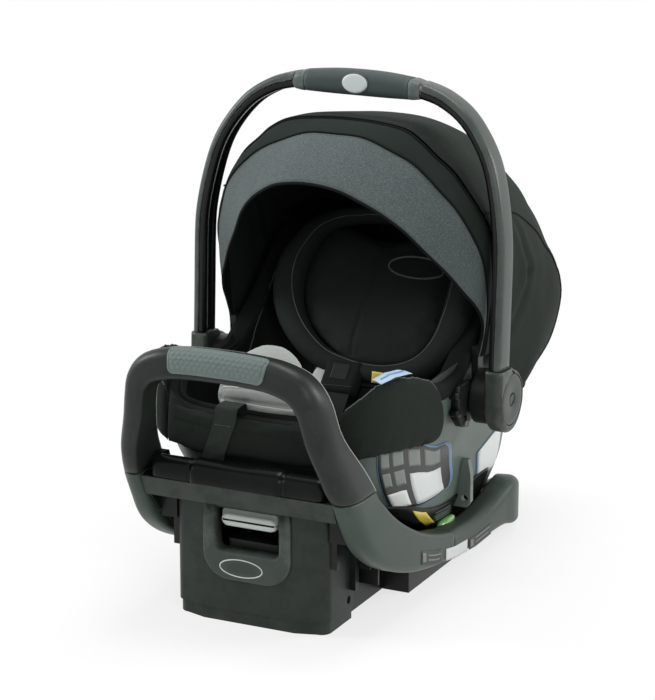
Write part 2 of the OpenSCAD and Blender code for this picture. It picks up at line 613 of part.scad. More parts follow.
// blank sheets on the right side of the shell: [from angle, to angle, from share, to share of its height]
label_places = [[-41, -1.5, 0.27, 0.6], [1, 20, 0.09, 0.27]];
function label_grid(place, inset) =
    // rows on the shell's own levels, so that the sheet bends where the shell does
    let (shares = concat([place[2]], [for (l = shell_levels) if (l[0] > place[2] && l[0] < place[3]) l[0]],
                         [place[3]]))
    [for (share = shares)
        let (level = [for (k = [0:3]) k == 0 ? share : lookup(share, [for (l = shell_levels) [l[0], l[k]]])])
        [for (j = [0:10])
            bucket_point(level, place[0] + (place[1] - place[0]) * j / 10, shell_floor_z, inset, 0)]];
module shell_labels() color([0.85, 0.87, 0.87]) in_frame()
    both_sides() for (place = label_places) sheet(label_grid(place, -1.1), label_grid(place, -0.6));

// ---- headrest and harness ------------------------------------------------------------------
back_tilt = 42;                      // lean of the seat back from upright
head_foot = [3, 252];               // y and z of the support's lower end, at the seat back
module on_back() translate([0, head_foot[0], head_foot[1]]) rotate([-back_tilt, 0, 0]) children();
// drawn upright in on_back(): X across, +Y into the seat back, +Z up along it
board_t = 5;
module headrest_board() color([0.1, 0.1, 0.1]) in_frame() on_back()
    difference() {
        translate([-0.62 * head_hw, -board_t, 8]) cube([1.24 * head_hw, board_t, head_len - 8]);
        for (s = [-1, 1], z = [90, 120, 150])
            translate([s * 36 - 16, -board_t - 1, z]) cube([32, board_t + 2, 5]);
    }
module headrest_pad() color([0.08, 0.085, 0.085]) in_frame() on_back() {
    spans = [[0, 0.5, 8], [12, 0.72, 16], [45, 0.98, 28], [90, 1, 34], [140, 0.96, 34], [head_len, 0.82, 26],
             [head_len + 12, 0.62, 16]];
    skin([for (s = spans)
        let (hw = head_hw * s[1], wing = s[2])
        [for (p = [[-0.7 * hw, 0], [-0.92 * hw, -14], [-hw, -14 - wing], [-hw + 10, -20 - wing],
                   [-0.8 * hw, -14 - wing], [-0.62 * hw, -head_t - 2], [-0.25 * hw, -head_t],
                   [0.25 * hw, -head_t], [0.62 * hw, -head_t - 2], [0.8 * hw, -14 - wing],
                   [hw - 10, -20 - wing], [hw, -14 - wing], [0.92 * hw, -14], [0.7 * hw, 0]])
            [p[0], p[1] - board_t - 0.3, s[0]]]]);
}
// the harness lies stowed behind the support, with its covers and buckle below it
strap_x = 36;
module strap_covers() color([0.1, 0.1, 0.1]) in_frame() on_back()
    both_sides() translate([strap_x - 14, -11, -60]) cube([28, 6, 56]);
module shoulder_straps() color([0.05, 0.05, 0.05]) in_frame() on_back()
    both_sides() translate([strap_x - 12, 0.6, -58]) cube([24, 2, 200]);
module chest_clip() color([0.05, 0.05, 0.05]) in_frame() on_back()
    translate([-46, -17, -34]) cube([92, 5, 18]);
buckle_z = -46;
buckle_front = -36;
module buckle_body() color([0.06, 0.06, 0.06]) in_frame() on_back()
    difference() {
        translate([-24, buckle_front, buckle_z]) cube([48, 18, 42]);
        translate([-12, buckle_front - 1, buckle_z + 8]) cube([24, 9, 24]);
    }
module buckle_button() color([0.7, 0.08, 0.06]) in_frame() on_back()
    translate([-11.6, buckle_front - 1, buckle_z + 8.4]) cube([23.2, 5, 23.2]);
module crotch_strap() color([0.05, 0.05, 0.05]) in_frame() on_back()
    translate([-19, buckle_front + 6, buckle_z - 50]) cube([38, 3, 49.6]);

adjust_x = -33;
adjust_z = rim_z(-286) + 1;
module adjuster_plate() color([0.04, 0.04, 0.04]) in_frame()
    difference() {
        translate([adjust_x - 17, -285, adjust_z]) cube([34, 13, 2.5]);
        translate([adjust_x - 8 - gap, -282 - gap, adjust_z - 1]) cube([16 + 2 * gap, 7 + 2 * gap, 5]);
    }
module adjuster_button() color([0.3, 0.3, 0.3]) in_frame()
    translate([adjust_x - 8, -282, adjust_z + 1]) cube([16, 7, 6]);
module adjuster_strap() color([0.05, 0.05, 0.05]) in_frame()
    across(adjust_x - 14, adjust_x + 14,
        [[-270.4, 264], [-272.4, 264], [-274, 272], [-276, 274], [-298, 274], [-299.5, 270], [-300.5, 200],
         [-302.5, 200], [-301.5, 271], [-299, 276], [-275, 276], [-272, 273]]);

// ---- handle --------------------------------------------------------------------------------
grip_end = grip_hl + collar_w;
top_z = pivot_z + handle_rise;
module leaned()
    translate([0, 0, pivot_z]) rotate([-handle_lean, 0, 0]) translate([0, 0, -pivot_z]) children();
// centre line of the bow: [x, y, z, thickness, depth]
bow_path = [[grip_end, 0, top_z - 18, leg_t + 3, leg_d - 1], [116, 0, top_z - 26, leg_t + 2, leg_d - 1],
            [146, 0, top_z - 44, leg_t + 1, leg_d], [171, 0, top_z - 71, leg_t, leg_d],
            [190, 0, top_z - 103, leg_t, leg_d], [leg_mid - 10, 0, top_z - 143, leg_t, leg_d],
            [leg_mid - 2, 0, top_z - 188, leg_t, leg_d], [leg_mid, 0, top_z - 225, leg_t, leg_d],
            [leg_mid, 0, pivot_z + 100, leg_t, leg_d], [leg_mid, 0, pivot_z + hub_r + 3, leg_t, leg_d]];
function bow_rings(part) =
    let (path = spline(bow_path, 2), m = len(path))
    [for (i = [0:m - 1])
        let (here = path[i], before = path[max(i - 1, 0)], after = path[min(i + 1, m - 1)],
             dir = i == 0 ? [1, 0, 0] : unit([after[0] - before[0], 0, after[2] - before[2]]),
             out = [-dir[2], 0, dir[0]], t = here[3] / 2, d = here[4] / 2 - (part == "liner" ? 1.5 : 0),
             at = [here[0], 0, here[2]],
             outline = part == "shell"
                 ? [[0, -d], [t - 5, -d], [t, -d + 6], [t, d - 6], [t - 5, d], [0, d]]
                 : [[-0.4, -d], [-t + 5, -d], [-t, -d + 6], [-t, d - 6], [-t + 5, d], [-0.4, d]])
        [for (q = part == "shell" ? reversed(outline) : outline) at + q[0] * out + [0, q[1], 0]]];
module handle_shell() color([0.22, 0.24, 0.23]) in_frame() leaned() both_sides() skin(bow_rings("shell"));
module handle_liner() color([0.05, 0.05, 0.05]) in_frame() leaned() both_sides() skin(bow_rings("liner"));

grip_mid_z = top_z - grip_h / 2;
module handle_grip() color([0.2, 0.22, 0.22]) in_frame() leaned()
    skin(rings_along(spline(mirrored([[0, 0, grip_mid_z, grip_h, leg_d, 12],
                                      [36, 0, grip_mid_z - 0.5, grip_h - 1, leg_d, 12],
                                      [grip_hl, 0, top_z - 18, grip_h - 5, leg_d - 1, 10]])),
                     [0, 1, 0], 0, [1, 0, 0], [1, 0, 0]));
module grip_collars() color([0.18, 0.2, 0.2]) in_frame() leaned()
    both_sides() skin(rings_along([[grip_hl + 0.2, 0, top_z - 18, grip_h - 7, leg_d - 2, 10],
                                   [grip_end - 0.2, 0, top_z - 19, leg_t + 4, leg_d - 2, 8]],
                                  [0, 1, 0], 0, [1, 0, 0], [1, 0, 0]));
module grip_inlay() color([0.75, 0.78, 0.76]) in_frame() leaned()
    translate([0, -leg_d / 2 - 0.05, grip_mid_z + 1]) rotate([90, 0, 0]) linear_extrude(1.6)
        polygon([for (a = [0:12:348]) [17.5 * cos(a), 12 * sin(a)]]);

module handle_hub() difference() {
    union() {
        rod(hub_in, hub_out, 0, pivot_z, hub_r);
        translate([leg_mid - leg_t / 2, -leg_d / 2, pivot_z]) cube([leg_t, leg_d, hub_r + 2.8]);
    }
    rod(hub_in - 1, hub_out + 1, 0, pivot_z, axle_r + fit);
    rod(pocket_floor, leg_out + 1, 0, pivot_z, button_r + gap);
}
module handle_hubs() color([0.22, 0.24, 0.23]) in_frame() leaned() both_sides() handle_hub();
module push_button() difference() {
    rod(button_face - button_t, button_face, 0, pivot_z, button_r);
    rod(button_face - 3, button_face + 1, 0, pivot_z, 8);
}
module button_right() color([0.2, 0.22, 0.22]) in_frame() push_button();
module button_left() color([0.2, 0.22, 0.22]) in_frame() mirror([1, 0, 0]) push_button();

// ---- canopy --------------------------------------------------------------------------------
// hoops from centre to hub, each point [share of canopy_hw, radius share of canopy_r, lean forward in degrees]
bow_hoop = [[0, 1.012, 2], [0.21, 1.012, 3], [0.42, 1, 4], [0.55, 0.965, 5], [0.65, 0.915, 5],
            [0.76, 0.86, 4.5], [0.85, 0.79, 4], [0.93, 0.715, 3], [0.985, 0.64, 1.5], [1, 0.54, 0],
            [0.985, 0.38, -2], [0.955, 0.2, -2]];
top_hoop = [[0, 0.996, 9.4], [0.21, 0.992, 9.6], [0.42, 0.95, 10], [0.55, 0.915, 10], [0.65, 0.875, 10.6],
            [0.76, 0.815, 11], [0.85, 0.745, 10], [0.93, 0.64, 8], [0.98, 0.55, 6.4], [0.992, 0.45, 4],
            [0.98, 0.32, 1], [0.95, 0.2, 0]];
edge_hoop = [[0, 0.944, 26], [0.21, 0.93, 26.2], [0.36, 0.882, 25.8], [0.49, 0.815, 24.6],
             [0.6, 0.735, 23], [0.71, 0.625, 20.6], [0.81, 0.53, 17.8], [0.89, 0.44, 14.5],
             [0.95, 0.37, 10.5], [0.975, 0.31, 7], [0.965, 0.25, 4], [0.945, 0.2, 2]];
function whole(hoop) =
    concat([for (i = [len(hoop) - 1:-1:1]) [-hoop[i][0], hoop[i][1], hoop[i][2]]], hoop);
function between(a, b, t) = [for (i = [0:len(a) - 1]) a[i] * (1 - t) + b[i] * t];
// a hoop's points about the pivot, moved out along their radius
function hoop_points(hoop, out) = [for (h = whole(hoop))
    let (r = canopy_r * h[1] + out, x = h[0] * (canopy_hw + out))
    [x, -r * sin(h[2]), pivot_z + r * cos(h[2])]];
module hoop_sheet(hoops)
    sheet([for (h = hoops) hoop_points(h, 0)], [for (h = hoops) hoop_points(h, -canopy_t)]);
module canopy_band() color([0.3, 0.34, 0.38]) in_frame()
    hoop_sheet([edge_hoop, between(edge_hoop, top_hoop, 0.5), top_hoop]);
module canopy_bow() color([0.05, 0.05, 0.05]) in_frame()
    hoop_sheet([between(top_hoop, bow_hoop, 0.02), between(top_hoop, bow_hoop, 0.5), bow_hoop]);
module canopy_arms() color([0.05, 0.05, 0.05]) in_frame()
    both_sides() difference() {
        union() {
            rod(shell_hw + 2 + gap, shell_hw + 2 + gap + arm_t, 0, pivot_z, boss_r + 8);
            translate([shell_hw + 2 + gap, -8, pivot_z + 12]) cube([arm_t, 16, 0.2 * canopy_r - 14]);
        }
        rod(shell_hw, shell_hw + arm_t + 6, 0, pivot_z, boss_r + fit);
    }
// rear section: far enough outside the bow's hoop for the hoop to fold back under it, then squaring
// off and closing down behind the head
// rows of [lean, radius share, share of the square profile, share of width, crown at the centre,
// share of the radius kept where the sides run down to the hubs]
rear_rows = [[1, 1, 0, 1, 0, 1], [-6, 1, 0, 1, 1, 1], [-14, 0.998, 0, 1, 4, 1], [-24, 0.998, 0, 1, 9, 1],
             [-35, 1.006, 0, 1, 12, 1], [-47, 1.008, 0.1, 1, 8, 1], [-60, 0.99, 0.35, 0.995, 5, 1],
             [-74, 0.95, 0.8, 0.985, 0, 0.97], [-88, 0.895, 1, 0.91, 0, 0.84], [-98, 0.82, 1, 0.81, 0, 0.68]];
function square_share(x) = pow(max(1 - pow(abs(x), 8), 0.001), 1 / 8);
function rear_grid(out) = [for (s = rear_rows)
    [for (h = whole(bow_hoop))
        let (share = h[1] < 0.6 ? h[1] : h[1] * (1 - s[2]) + max(h[1], square_share(h[0])) * s[2],
             crown = s[4] * cos(90 * min(abs(h[0]) / 0.45, 1)), side = h[1] < 0.6 ? s[5] : 1,
             r = canopy_r * share * s[1] * side + crown + out, lean = s[0] == 1 ? h[2] - 0.6 : s[0])
        [h[0] * (canopy_hw + out + 1) * (h[1] < 0.6 ? 1 : s[3]), -r * sin(lean), pivot_z + r * cos(lean)]]];
module canopy_rear() color([0.05, 0.05, 0.05]) in_frame()
    sheet(rear_grid(canopy_t + 2), rear_grid(2));

// ---- what is drawn -------------------------------------------------------------------------
base_tray();
base_deck();
deck_lid();
front_apron();
side_rail_right();
side_rail_left();
rear_rim();
anti_rebound_bar();
bar_tube();
bar_grip_pad();
cradle_pads();
latch_bars();
level_bezel();
level_lens();
base_feet();
rail_labels();
foot_block();
foot_skid();
foot_guides();
foot_bezel();
recline_lever();
lever_block();
carrier_shell();
foam_liner();
seat_pad();
wing_pad_right();
wing_pad_left();
leg_roll();
infant_insert();
belt_guides();
latch_hooks();
release_housing();
release_lever();
hub_housing_right();
hub_housing_left();
hub_axles();
shell_labels();
headrest_board();
headrest_pad();
strap_covers();
shoulder_straps();
chest_clip();
crotch_strap();
buckle_body();
buckle_button();
adjuster_plate();
adjuster_strap();
adjuster_button();
handle_shell();
handle_liner();
handle_grip();
grip_collars();
grip_inlay();
handle_hubs();
button_right();
button_left();
canopy_arms();
canopy_bow();
canopy_band();
canopy_rear();
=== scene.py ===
import math

import bpy
import bmesh
import numpy as np
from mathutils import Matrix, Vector
from mathutils.bvhtree import BVHTree


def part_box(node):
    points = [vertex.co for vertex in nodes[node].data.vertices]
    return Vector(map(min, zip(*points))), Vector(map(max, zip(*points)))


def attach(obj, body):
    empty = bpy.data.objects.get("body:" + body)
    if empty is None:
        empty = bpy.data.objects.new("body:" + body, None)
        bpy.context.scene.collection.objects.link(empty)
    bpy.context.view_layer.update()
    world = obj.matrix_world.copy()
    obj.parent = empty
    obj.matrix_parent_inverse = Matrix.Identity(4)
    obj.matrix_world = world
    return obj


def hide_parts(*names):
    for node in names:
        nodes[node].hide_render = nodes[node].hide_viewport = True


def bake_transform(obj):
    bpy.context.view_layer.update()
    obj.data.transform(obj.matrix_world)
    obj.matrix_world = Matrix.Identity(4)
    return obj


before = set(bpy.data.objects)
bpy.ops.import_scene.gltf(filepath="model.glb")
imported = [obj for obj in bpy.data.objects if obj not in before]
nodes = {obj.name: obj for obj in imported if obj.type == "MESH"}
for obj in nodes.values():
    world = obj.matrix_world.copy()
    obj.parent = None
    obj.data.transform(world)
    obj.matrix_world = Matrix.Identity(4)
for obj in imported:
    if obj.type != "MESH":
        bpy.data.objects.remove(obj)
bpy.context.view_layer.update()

scene = bpy.context.scene

# lengths are in millimetres from the handle's pivot line: x across, y towards the head, z up from the floor
pivotLow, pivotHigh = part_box("button_right")
pivotY = 1000 * (pivotLow.y + pivotHigh.y) / 2
pivotZ = round(1000 * (pivotLow.z + pivotHigh.z) / 2, 3)
bothSides = ((1, "right"), (-1, "left"))


def toFrame(points):
    return np.asarray(points, float) / 1000 + np.array([0, pivotY / 1000, 0])


def nodeBox(name):  # lowest and highest corner of a CAD node, in the lengths above
    low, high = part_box(name)
    shift = np.array([0, pivotY, 0])
    return np.array(low) * 1000 - shift, np.array(high) * 1000 - shift


# camera, light and floor

cameraUse = {"azimuth": 26, "elevation": 16, "distance": 3742, "lens": 149.14, "aim": (0, 0, 250),
             "slide": (34.4, -23.2)}


def placeCamera(use):
    a, e = math.radians(use["azimuth"]), math.radians(use["elevation"])
    back = Vector((math.sin(a) * math.cos(e), -math.cos(a) * math.cos(e), math.sin(e)))
    right = Vector((math.cos(a), math.sin(a), 0))
    up = back.cross(right)
    across, rise = use["slide"]
    aim = Vector(toFrame(use["aim"]))
    camera = bpy.data.objects.new("camera", bpy.data.cameras.new("camera"))
    scene.collection.objects.link(camera)
    camera.location = aim + (back * use["distance"] - right * across - up * rise) / 1000
    camera.rotation_mode = "QUATERNION"
    camera.rotation_quaternion = (-back).to_track_quat("-Z", "Y")
    camera.data.lens = use["lens"]
    camera.data.sensor_width = 36
    camera.data.clip_end = 50
    scene.camera = camera


placeCamera(cameraUse)

lightUse = {"sky": 0.42, "backdrop": (1, 1, 1, 1), "floorTone": (0.94, 0.94, 0.94, 1), "floorHalf": 9,
            "shadowReach": (0.4, 0.78),  # metres over which the shadow ends
            "shadowLoss": 0.72,  # share of it that is left out
            "lampsFace": (0, 0, 0.3),
            # place, size, power
            "softBoxes": [((-2.3, -0.9, 1.5), 1.1, 40), ((1.9, -1.9, 1.5), 1.0, 12),
                          ((0.1, 0.3, 2.6), 1.4, 30), ((2.0, 1.3, 1.2), 1.0, 26)]}


def link(tree, a, b):
    tree.links.new(a, b)


def math2(tree, operation, a, b=None):  # a Math node; a and b are sockets or numbers
    node = tree.nodes.new("ShaderNodeMath")
    node.operation = operation
    for socket, value in zip(node.inputs, (a, b)):
        if isinstance(value, (int, float)):
            socket.default_value = value
        elif value is not None:
            link(tree, value, socket)
    return node.outputs[0]


def mixShader(tree, share, a, b):
    mix = tree.nodes.new("ShaderNodeMixShader")
    for socket, value in zip(mix.inputs, (share, a, b)):
        link(tree, value, socket)
    return mix.outputs[0]


def seenByEye(tree):  # 1 for what the camera, a reflection or a pane shows
    path = tree.nodes.new("ShaderNodeLightPath")
    seen = math2(tree, "MAXIMUM", path.outputs["Is Camera Ray"], path.outputs["Is Glossy Ray"])
    return math2(tree, "MAXIMUM", seen, path.outputs["Is Transmission Ray"])


def addRoom(use):
    world = bpy.data.worlds.new("studio")
    scene.world = world
    world.use_nodes = True
    tree = world.node_tree
    tree.nodes.clear()
    glow, seen = tree.nodes.new("ShaderNodeBackground"), tree.nodes.new("ShaderNodeBackground")
    for node, strength in ((glow, use["sky"]), (seen, 1)):
        node.inputs["Color"].default_value = use["backdrop"]
        node.inputs["Strength"].default_value = strength
    room = mixShader(tree, seenByEye(tree), glow.outputs[0], seen.outputs[0])
    link(tree, room, tree.nodes.new("ShaderNodeOutputWorld").inputs["Surface"])


def addLamps(use):
    for i, (place, size, power) in enumerate(use["softBoxes"]):
        lamp = bpy.data.lights.new(f"softBox{i}", "AREA")
        lamp.shape, lamp.size, lamp.energy = "DISK", size, power
        box = bpy.data.objects.new(f"softBox{i}", lamp)
        scene.collection.objects.link(box)
        box.location = place
        box.rotation_mode = "QUATERNION"
        box.rotation_quaternion = (Vector(place) - Vector(use["lampsFace"])).to_track_quat("Z", "Y")


def addFloor(use):
    half = use["floorHalf"]
    mesh = bpy.data.meshes.new("floor")
    corners = [(-half, -half, 0), (half, -half, 0), (half, half, 0), (-half, half, 0)]
    mesh.from_pydata(corners, [], [(0, 1, 2, 3)])
    floor = bpy.data.objects.new("floor", mesh)
    scene.collection.objects.link(floor)
    paper = bpy.data.materials.new("floorPaper")
    paper.use_nodes = True
    tree = paper.node_tree
    shader = tree.nodes["Principled BSDF"]
    shader.inputs["Base Color"].default_value = use["floorTone"]
    shader.inputs["Roughness"].default_value = 0.9
    shader.inputs["Specular IOR Level"].default_value = 0.1
    # past the object's shadow the paper shows as plain white to the camera and in reflections
    away, fade = tree.nodes.new("ShaderNodeVectorMath"), tree.nodes.new("ShaderNodeMapRange")
    away.operation, fade.interpolation_type = "LENGTH", "SMOOTHSTEP"
    link(tree, tree.nodes.new("ShaderNodeTexCoord").outputs["Object"], away.inputs[0])
    link(tree, away.outputs["Value"], fade.inputs["Value"])
    fade.inputs["From Min"].default_value, fade.inputs["From Max"].default_value = use["shadowReach"]
    fade.inputs["To Min"].default_value = use["shadowLoss"]
    white = tree.nodes.new("ShaderNodeEmission")
    share = math2(tree, "MULTIPLY", fade.outputs["Result"], seenByEye(tree))
    link(tree, mixShader(tree, share, shader.outputs[0], white.outputs[0]),
         tree.nodes["Material Output"].inputs["Surface"])
    mesh.materials.append(paper)


scene.view_settings.view_transform = "Standard"
addRoom(lightUse)
addLamps(lightUse)
addFloor(lightUse)
print("camera and studio placed")

# node groups that several finishes share


def newGroup(name, inputs):  # a colour or number for each input; every group puts out the same three
    group = bpy.data.node_groups.new(name, "ShaderNodeTree")
    for label, value in inputs.items():
        kind = "NodeSocketColor" if isinstance(value, tuple) else "NodeSocketFloat"
        group.interface.new_socket(name=label, in_out="INPUT", socket_type=kind).default_value = value
    for label in ("Color", "Roughness", "Height"):
        kind = "NodeSocketColor" if label == "Color" else "NodeSocketFloat"
        group.interface.new_socket(name=label, in_out="OUTPUT", socket_type=kind)
    return group, group.nodes.new("NodeGroupInput"), group.nodes.new("NodeGroupOutput")


def mixColour(tree, share, a, b):
    node = tree.nodes.new("ShaderNodeMix")
    node.data_type = "RGBA"
    for i, value in ((0, share), (6, a), (7, b)):  # the colour sockets are the node's seventh and eighth
        if hasattr(value, "is_output"):
            link(tree, value, node.inputs[i])
        else:
            node.inputs[i].default_value = value
    return node.outputs[2]


def noise(tree, where, scale, detail, rough=0.5):
    node = tree.nodes.new("ShaderNodeTexNoise")
    link(tree, where, node.inputs["Vector"])
    if isinstance(scale, (int, float)):
        node.inputs["Scale"].default_value = scale
    else:
        link(tree, scale, node.inputs["Scale"])
    node.inputs["Detail"].default_value = detail
    node.inputs["Roughness"].default_value = rough
    return node.outputs["Fac"]


def ramp(tree, value, low, high):  # 0 below low, 1 above high
    node = tree.nodes.new("ShaderNodeMapRange")
    node.interpolation_type = "SMOOTHSTEP"
    link(tree, value, node.inputs["Value"])
    node.inputs["From Min"].default_value = low
    node.inputs["From Max"].default_value = high
    return node.outputs["Result"]


def makeMouldGroup():  # moulded plastic: spark-eroded grain, faint flow marks, and sharp edges lightened, as rubbed wear and as a painted highlight
    group, start, end = newGroup("mouldedGrain", {
        "Color": (0.02, 0.02, 0.02, 1), "Edge Color": (0.1, 0.1, 0.1, 1), "Roughness": 0.4,
        "Grain Scale": 1400.0, "Grain Depth": 1.0, "Edge Wear And Highlight": 0.5})
    where = group.nodes.new("ShaderNodeTexCoord").outputs["Object"]
    geometry = group.nodes.new("ShaderNodeNewGeometry")
    grain = noise(group, where, start.outputs["Grain Scale"], 3, 0.6)
    flow = noise(group, where, 9, 3)
    smudge = noise(group, where, 34, 4, 0.65)
    # sharp edges, found by pointiness, turn towards the edge colour where the smudge noise allows: partly
    # rubbed wear, partly a painted highlight of edges catching the light
    edge = ramp(group, geometry.outputs["Pointiness"], 0.505, 0.56)
    rubbedAndLitEdge = math2(group, "MULTIPLY", math2(group, "MULTIPLY", edge, ramp(group, smudge, 0.35, 0.6)),
                   start.outputs["Edge Wear And Highlight"])
    mottled = mixColour(group, math2(group, "MULTIPLY", ramp(group, flow, 0.3, 0.7), 0.05),
                        start.outputs["Color"], (0.09, 0.1, 0.095, 1))
    grained = mixColour(group, math2(group, "MULTIPLY", ramp(group, grain, 0.42, 0.7), 0.06), mottled,
                        start.outputs["Edge Color"])
    link(group, mixColour(group, rubbedAndLitEdge, grained, start.outputs["Edge Color"]), end.inputs["Color"])
    rough = math2(group, "ADD", start.outputs["Roughness"],
                  math2(group, "MULTIPLY", math2(group, "SUBTRACT", smudge, 0.5), 0.12))
    link(group, rough, end.inputs["Roughness"])
    link(group, math2(group, "MULTIPLY", grain, start.outputs["Grain Depth"]), end.inputs["Height"])
    return group


def makeWeaveGroup():  # cloth woven along the frame's axes, so it needs no unwrapping
    group, start, end = newGroup("clothWeave", {
        "Color": (0.02, 0.02, 0.02, 1), "Fleck Color": (0.1, 0.1, 0.1, 1), "Threads": 3600.0, "Heather": 0.3,
        "Twill": 0.0, "Creases": 0.4})
    where = group.nodes.new("ShaderNodeTexCoord").outputs["Object"]
    split = group.nodes.new("ShaderNodeSeparateXYZ")
    link(group, where, split.inputs[0])
    facing = group.nodes.new("ShaderNodeSeparateXYZ")
    link(group, group.nodes.new("ShaderNodeNewGeometry").outputs["Normal"], facing.inputs[0])
    wave = []
    for i in range(3):
        along = math2(group, "MULTIPLY", split.outputs[i], start.outputs["Threads"])
        across = math2(group, "MULTIPLY", split.outputs[(i + 1) % 3],
                       math2(group, "MULTIPLY", start.outputs["Threads"], start.outputs["Twill"]))
        wave.append(math2(group, "SINE", math2(group, "ADD", along, across)))
    total = None
    for i in range(3):  # the plane that faces along axis i shows the crossing of the other two waves
        crossing = math2(group, "MULTIPLY", wave[(i + 1) % 3], wave[(i + 2) % 3])
        share = math2(group, "MULTIPLY", facing.outputs[i], facing.outputs[i])
        part = math2(group, "MULTIPLY", crossing, share)
        total = part if total is None else math2(group, "ADD", total, part)
    thread = math2(group, "ADD", math2(group, "MULTIPLY", total, 0.5), 0.5)
    slub = noise(group, where, 700, 3, 0.7)
    fade = noise(group, where, 7, 3)
    crease = noise(group, where, 26, 3, 0.55)
    heather = math2(group, "MULTIPLY", ramp(group, slub, 0.4, 0.68), start.outputs["Heather"])
    flecked = mixColour(group, heather, start.outputs["Color"], start.outputs["Fleck Color"])
    lit = mixColour(group, math2(group, "MULTIPLY", thread, 0.14), flecked, start.outputs["Fleck Color"])
    faded = mixColour(group, math2(group, "MULTIPLY", ramp(group, fade, 0.35, 0.75), 0.12), lit,
                      start.outputs["Fleck Color"])
    link(group, faded, end.inputs["Color"])
    link(group, math2(group, "ADD", 0.72, math2(group, "MULTIPLY", slub, 0.2)), end.inputs["Roughness"])
    folds = math2(group, "MULTIPLY", ramp(group, crease, 0.25, 0.8), start.outputs["Creases"])
    height = math2(group, "ADD", math2(group, "MULTIPLY", thread, 0.35), math2(group, "MULTIPLY", folds, 9))
    link(group, height, end.inputs["Height"])
    return group


mouldGroup, weaveGroup = makeMouldGroup(), makeWeaveGroup()

# finishes


def colourOf(red, green, blue):  # screen values 0 to 255
    linear = [c / 3294.6 if c <= 10 else ((c / 255 + 0.055) / 1.055) ** 2.4 for c in (red, green, blue)]
    return (*linear, 1)


def finishFrom(name, group, values, bump, bumpReach, **shaderValues):
    material = bpy.data.materials.new(name)
    material.use_nodes = True
    tree = material.node_tree
    shader = tree.nodes["Principled BSDF"]
    effect = tree.nodes.new("ShaderNodeGroup")
    effect.node_tree = group
    for label, value in values.items():
        effect.inputs[label].default_value = value
    link(tree, effect.outputs["Color"], shader.inputs["Base Color"])
    link(tree, effect.outputs["Roughness"], shader.inputs["Roughness"])
    relief = tree.nodes.new("ShaderNodeBump")
    relief.inputs["Strength"].default_value = bump
    relief.inputs["Distance"].default_value = bumpReach
    link(tree, effect.outputs["Height"], relief.inputs["Height"])
    link(tree, relief.outputs["Normal"], shader.inputs["Normal"])
    for label, value in shaderValues.items():
        shader.inputs[label.replace("_", " ")].default_value = value
    return material


# how far sharp edges lighten is set per finish: partly rubbed wear, partly a painted edge highlight
def plastic(name, tone, edge, roughness, grain=1400.0, depth=1.0, edgeWearAndHighlight=0.5, bump=0.25, **more):
    return finishFrom(name, mouldGroup,
                      {"Color": colourOf(*tone), "Edge Color": colourOf(*edge), "Roughness": roughness,
                       "Grain Scale": grain, "Grain Depth": depth, "Edge Wear And Highlight": edgeWearAndHighlight}, bump, 0.0004, **more)


def cloth(name, tone, fleck, creases, threads=3600.0, heather=0.3, twill=0.0, bump=0.5, **more):
    return finishFrom(name, weaveGroup,
                      {"Color": colourOf(*tone), "Fleck Color": colourOf(*fleck), "Threads": threads,
                       "Heather": heather, "Twill": twill, "Creases": creases}, bump, 0.0005,
                      **{"Specular_IOR_Level": 0.08, **more})


dark = {"Specular_IOR_Level": 0.22}  # low reflectance, so that dark mouldings stay dark against the pale room
frameSatin = plastic("frameSatin", (27, 32, 29), (92, 100, 95), 0.36, edgeWearAndHighlight=0.22, **dark)
# pale finish of the bar's beads: a painted highlight of the light caught along its edges
highlightBead = plastic("highlightBead", (148, 156, 150), (180, 186, 182), 0.34, edgeWearAndHighlight=0.2)
railSatin = plastic("railSatin", (56, 67, 60), (112, 124, 116), 0.4, edgeWearAndHighlight=0.25, **dark)
shellSatin = plastic("shellSatin", (80, 92, 85), (130, 142, 134), 0.4, edgeWearAndHighlight=0.25, **dark)
guideSatin = plastic("guideSatin", (92, 100, 94), (146, 154, 148), 0.42, edgeWearAndHighlight=0.3, **dark)
footSatin = plastic("footSatin", (30, 38, 33), (76, 86, 80), 0.42, edgeWearAndHighlight=0.25, **dark)
bezelSatin = plastic("bezelSatin", (54, 63, 58), (112, 121, 115), 0.45, edgeWearAndHighlight=0.3, **dark)
handleSatin = plastic("handleSatin", (54, 62, 58), (136, 144, 138), 0.34, edgeWearAndHighlight=0.3, Specular_IOR_Level=0.35)
hubSatin = plastic("hubSatin", (38, 46, 41), (126, 134, 128), 0.34, edgeWearAndHighlight=0.3, Specular_IOR_Level=0.3)
linerGloss = plastic("linerGloss", (8, 10, 9), (46, 51, 48), 0.2, edgeWearAndHighlight=0.15, **dark)
deckGloss = plastic("deckGloss", (4, 8, 6), (36, 42, 38), 0.24, depth=0.4, edgeWearAndHighlight=0.15, Specular_IOR_Level=0.11)
blackSatin = plastic("blackSatin", (12, 14, 13), (50, 55, 52), 0.36, edgeWearAndHighlight=0.3, **dark)
blackRubber = plastic("blackRubber", (12, 13, 12), (42, 44, 42), 0.72, grain=900.0, **dark)
gripRubber = plastic("gripRubber", (60, 70, 69), (102, 111, 109), 0.62, grain=1100.0, depth=1.4, **dark)
padRubber = plastic("padRubber", (100, 113, 110), (146, 156, 152), 0.55, grain=1000.0, edgeWearAndHighlight=0.3, **dark)
leverPale = plastic("leverPale", (188, 197, 191), (222, 226, 224), 0.38, edgeWearAndHighlight=0.2)
badgePale = plastic("badgePale", (198, 207, 206), (230, 232, 232), 0.34, edgeWearAndHighlight=0.2)
foamDark = plastic("foamDark", (34, 38, 35), (58, 63, 60), 0.85, grain=420.0, depth=1.6, bump=0.5)
steelBright = plastic("steelBright", (150, 152, 152), (214, 214, 214), 0.3, grain=2200.0, depth=0.5,
                      Metallic=1.0)
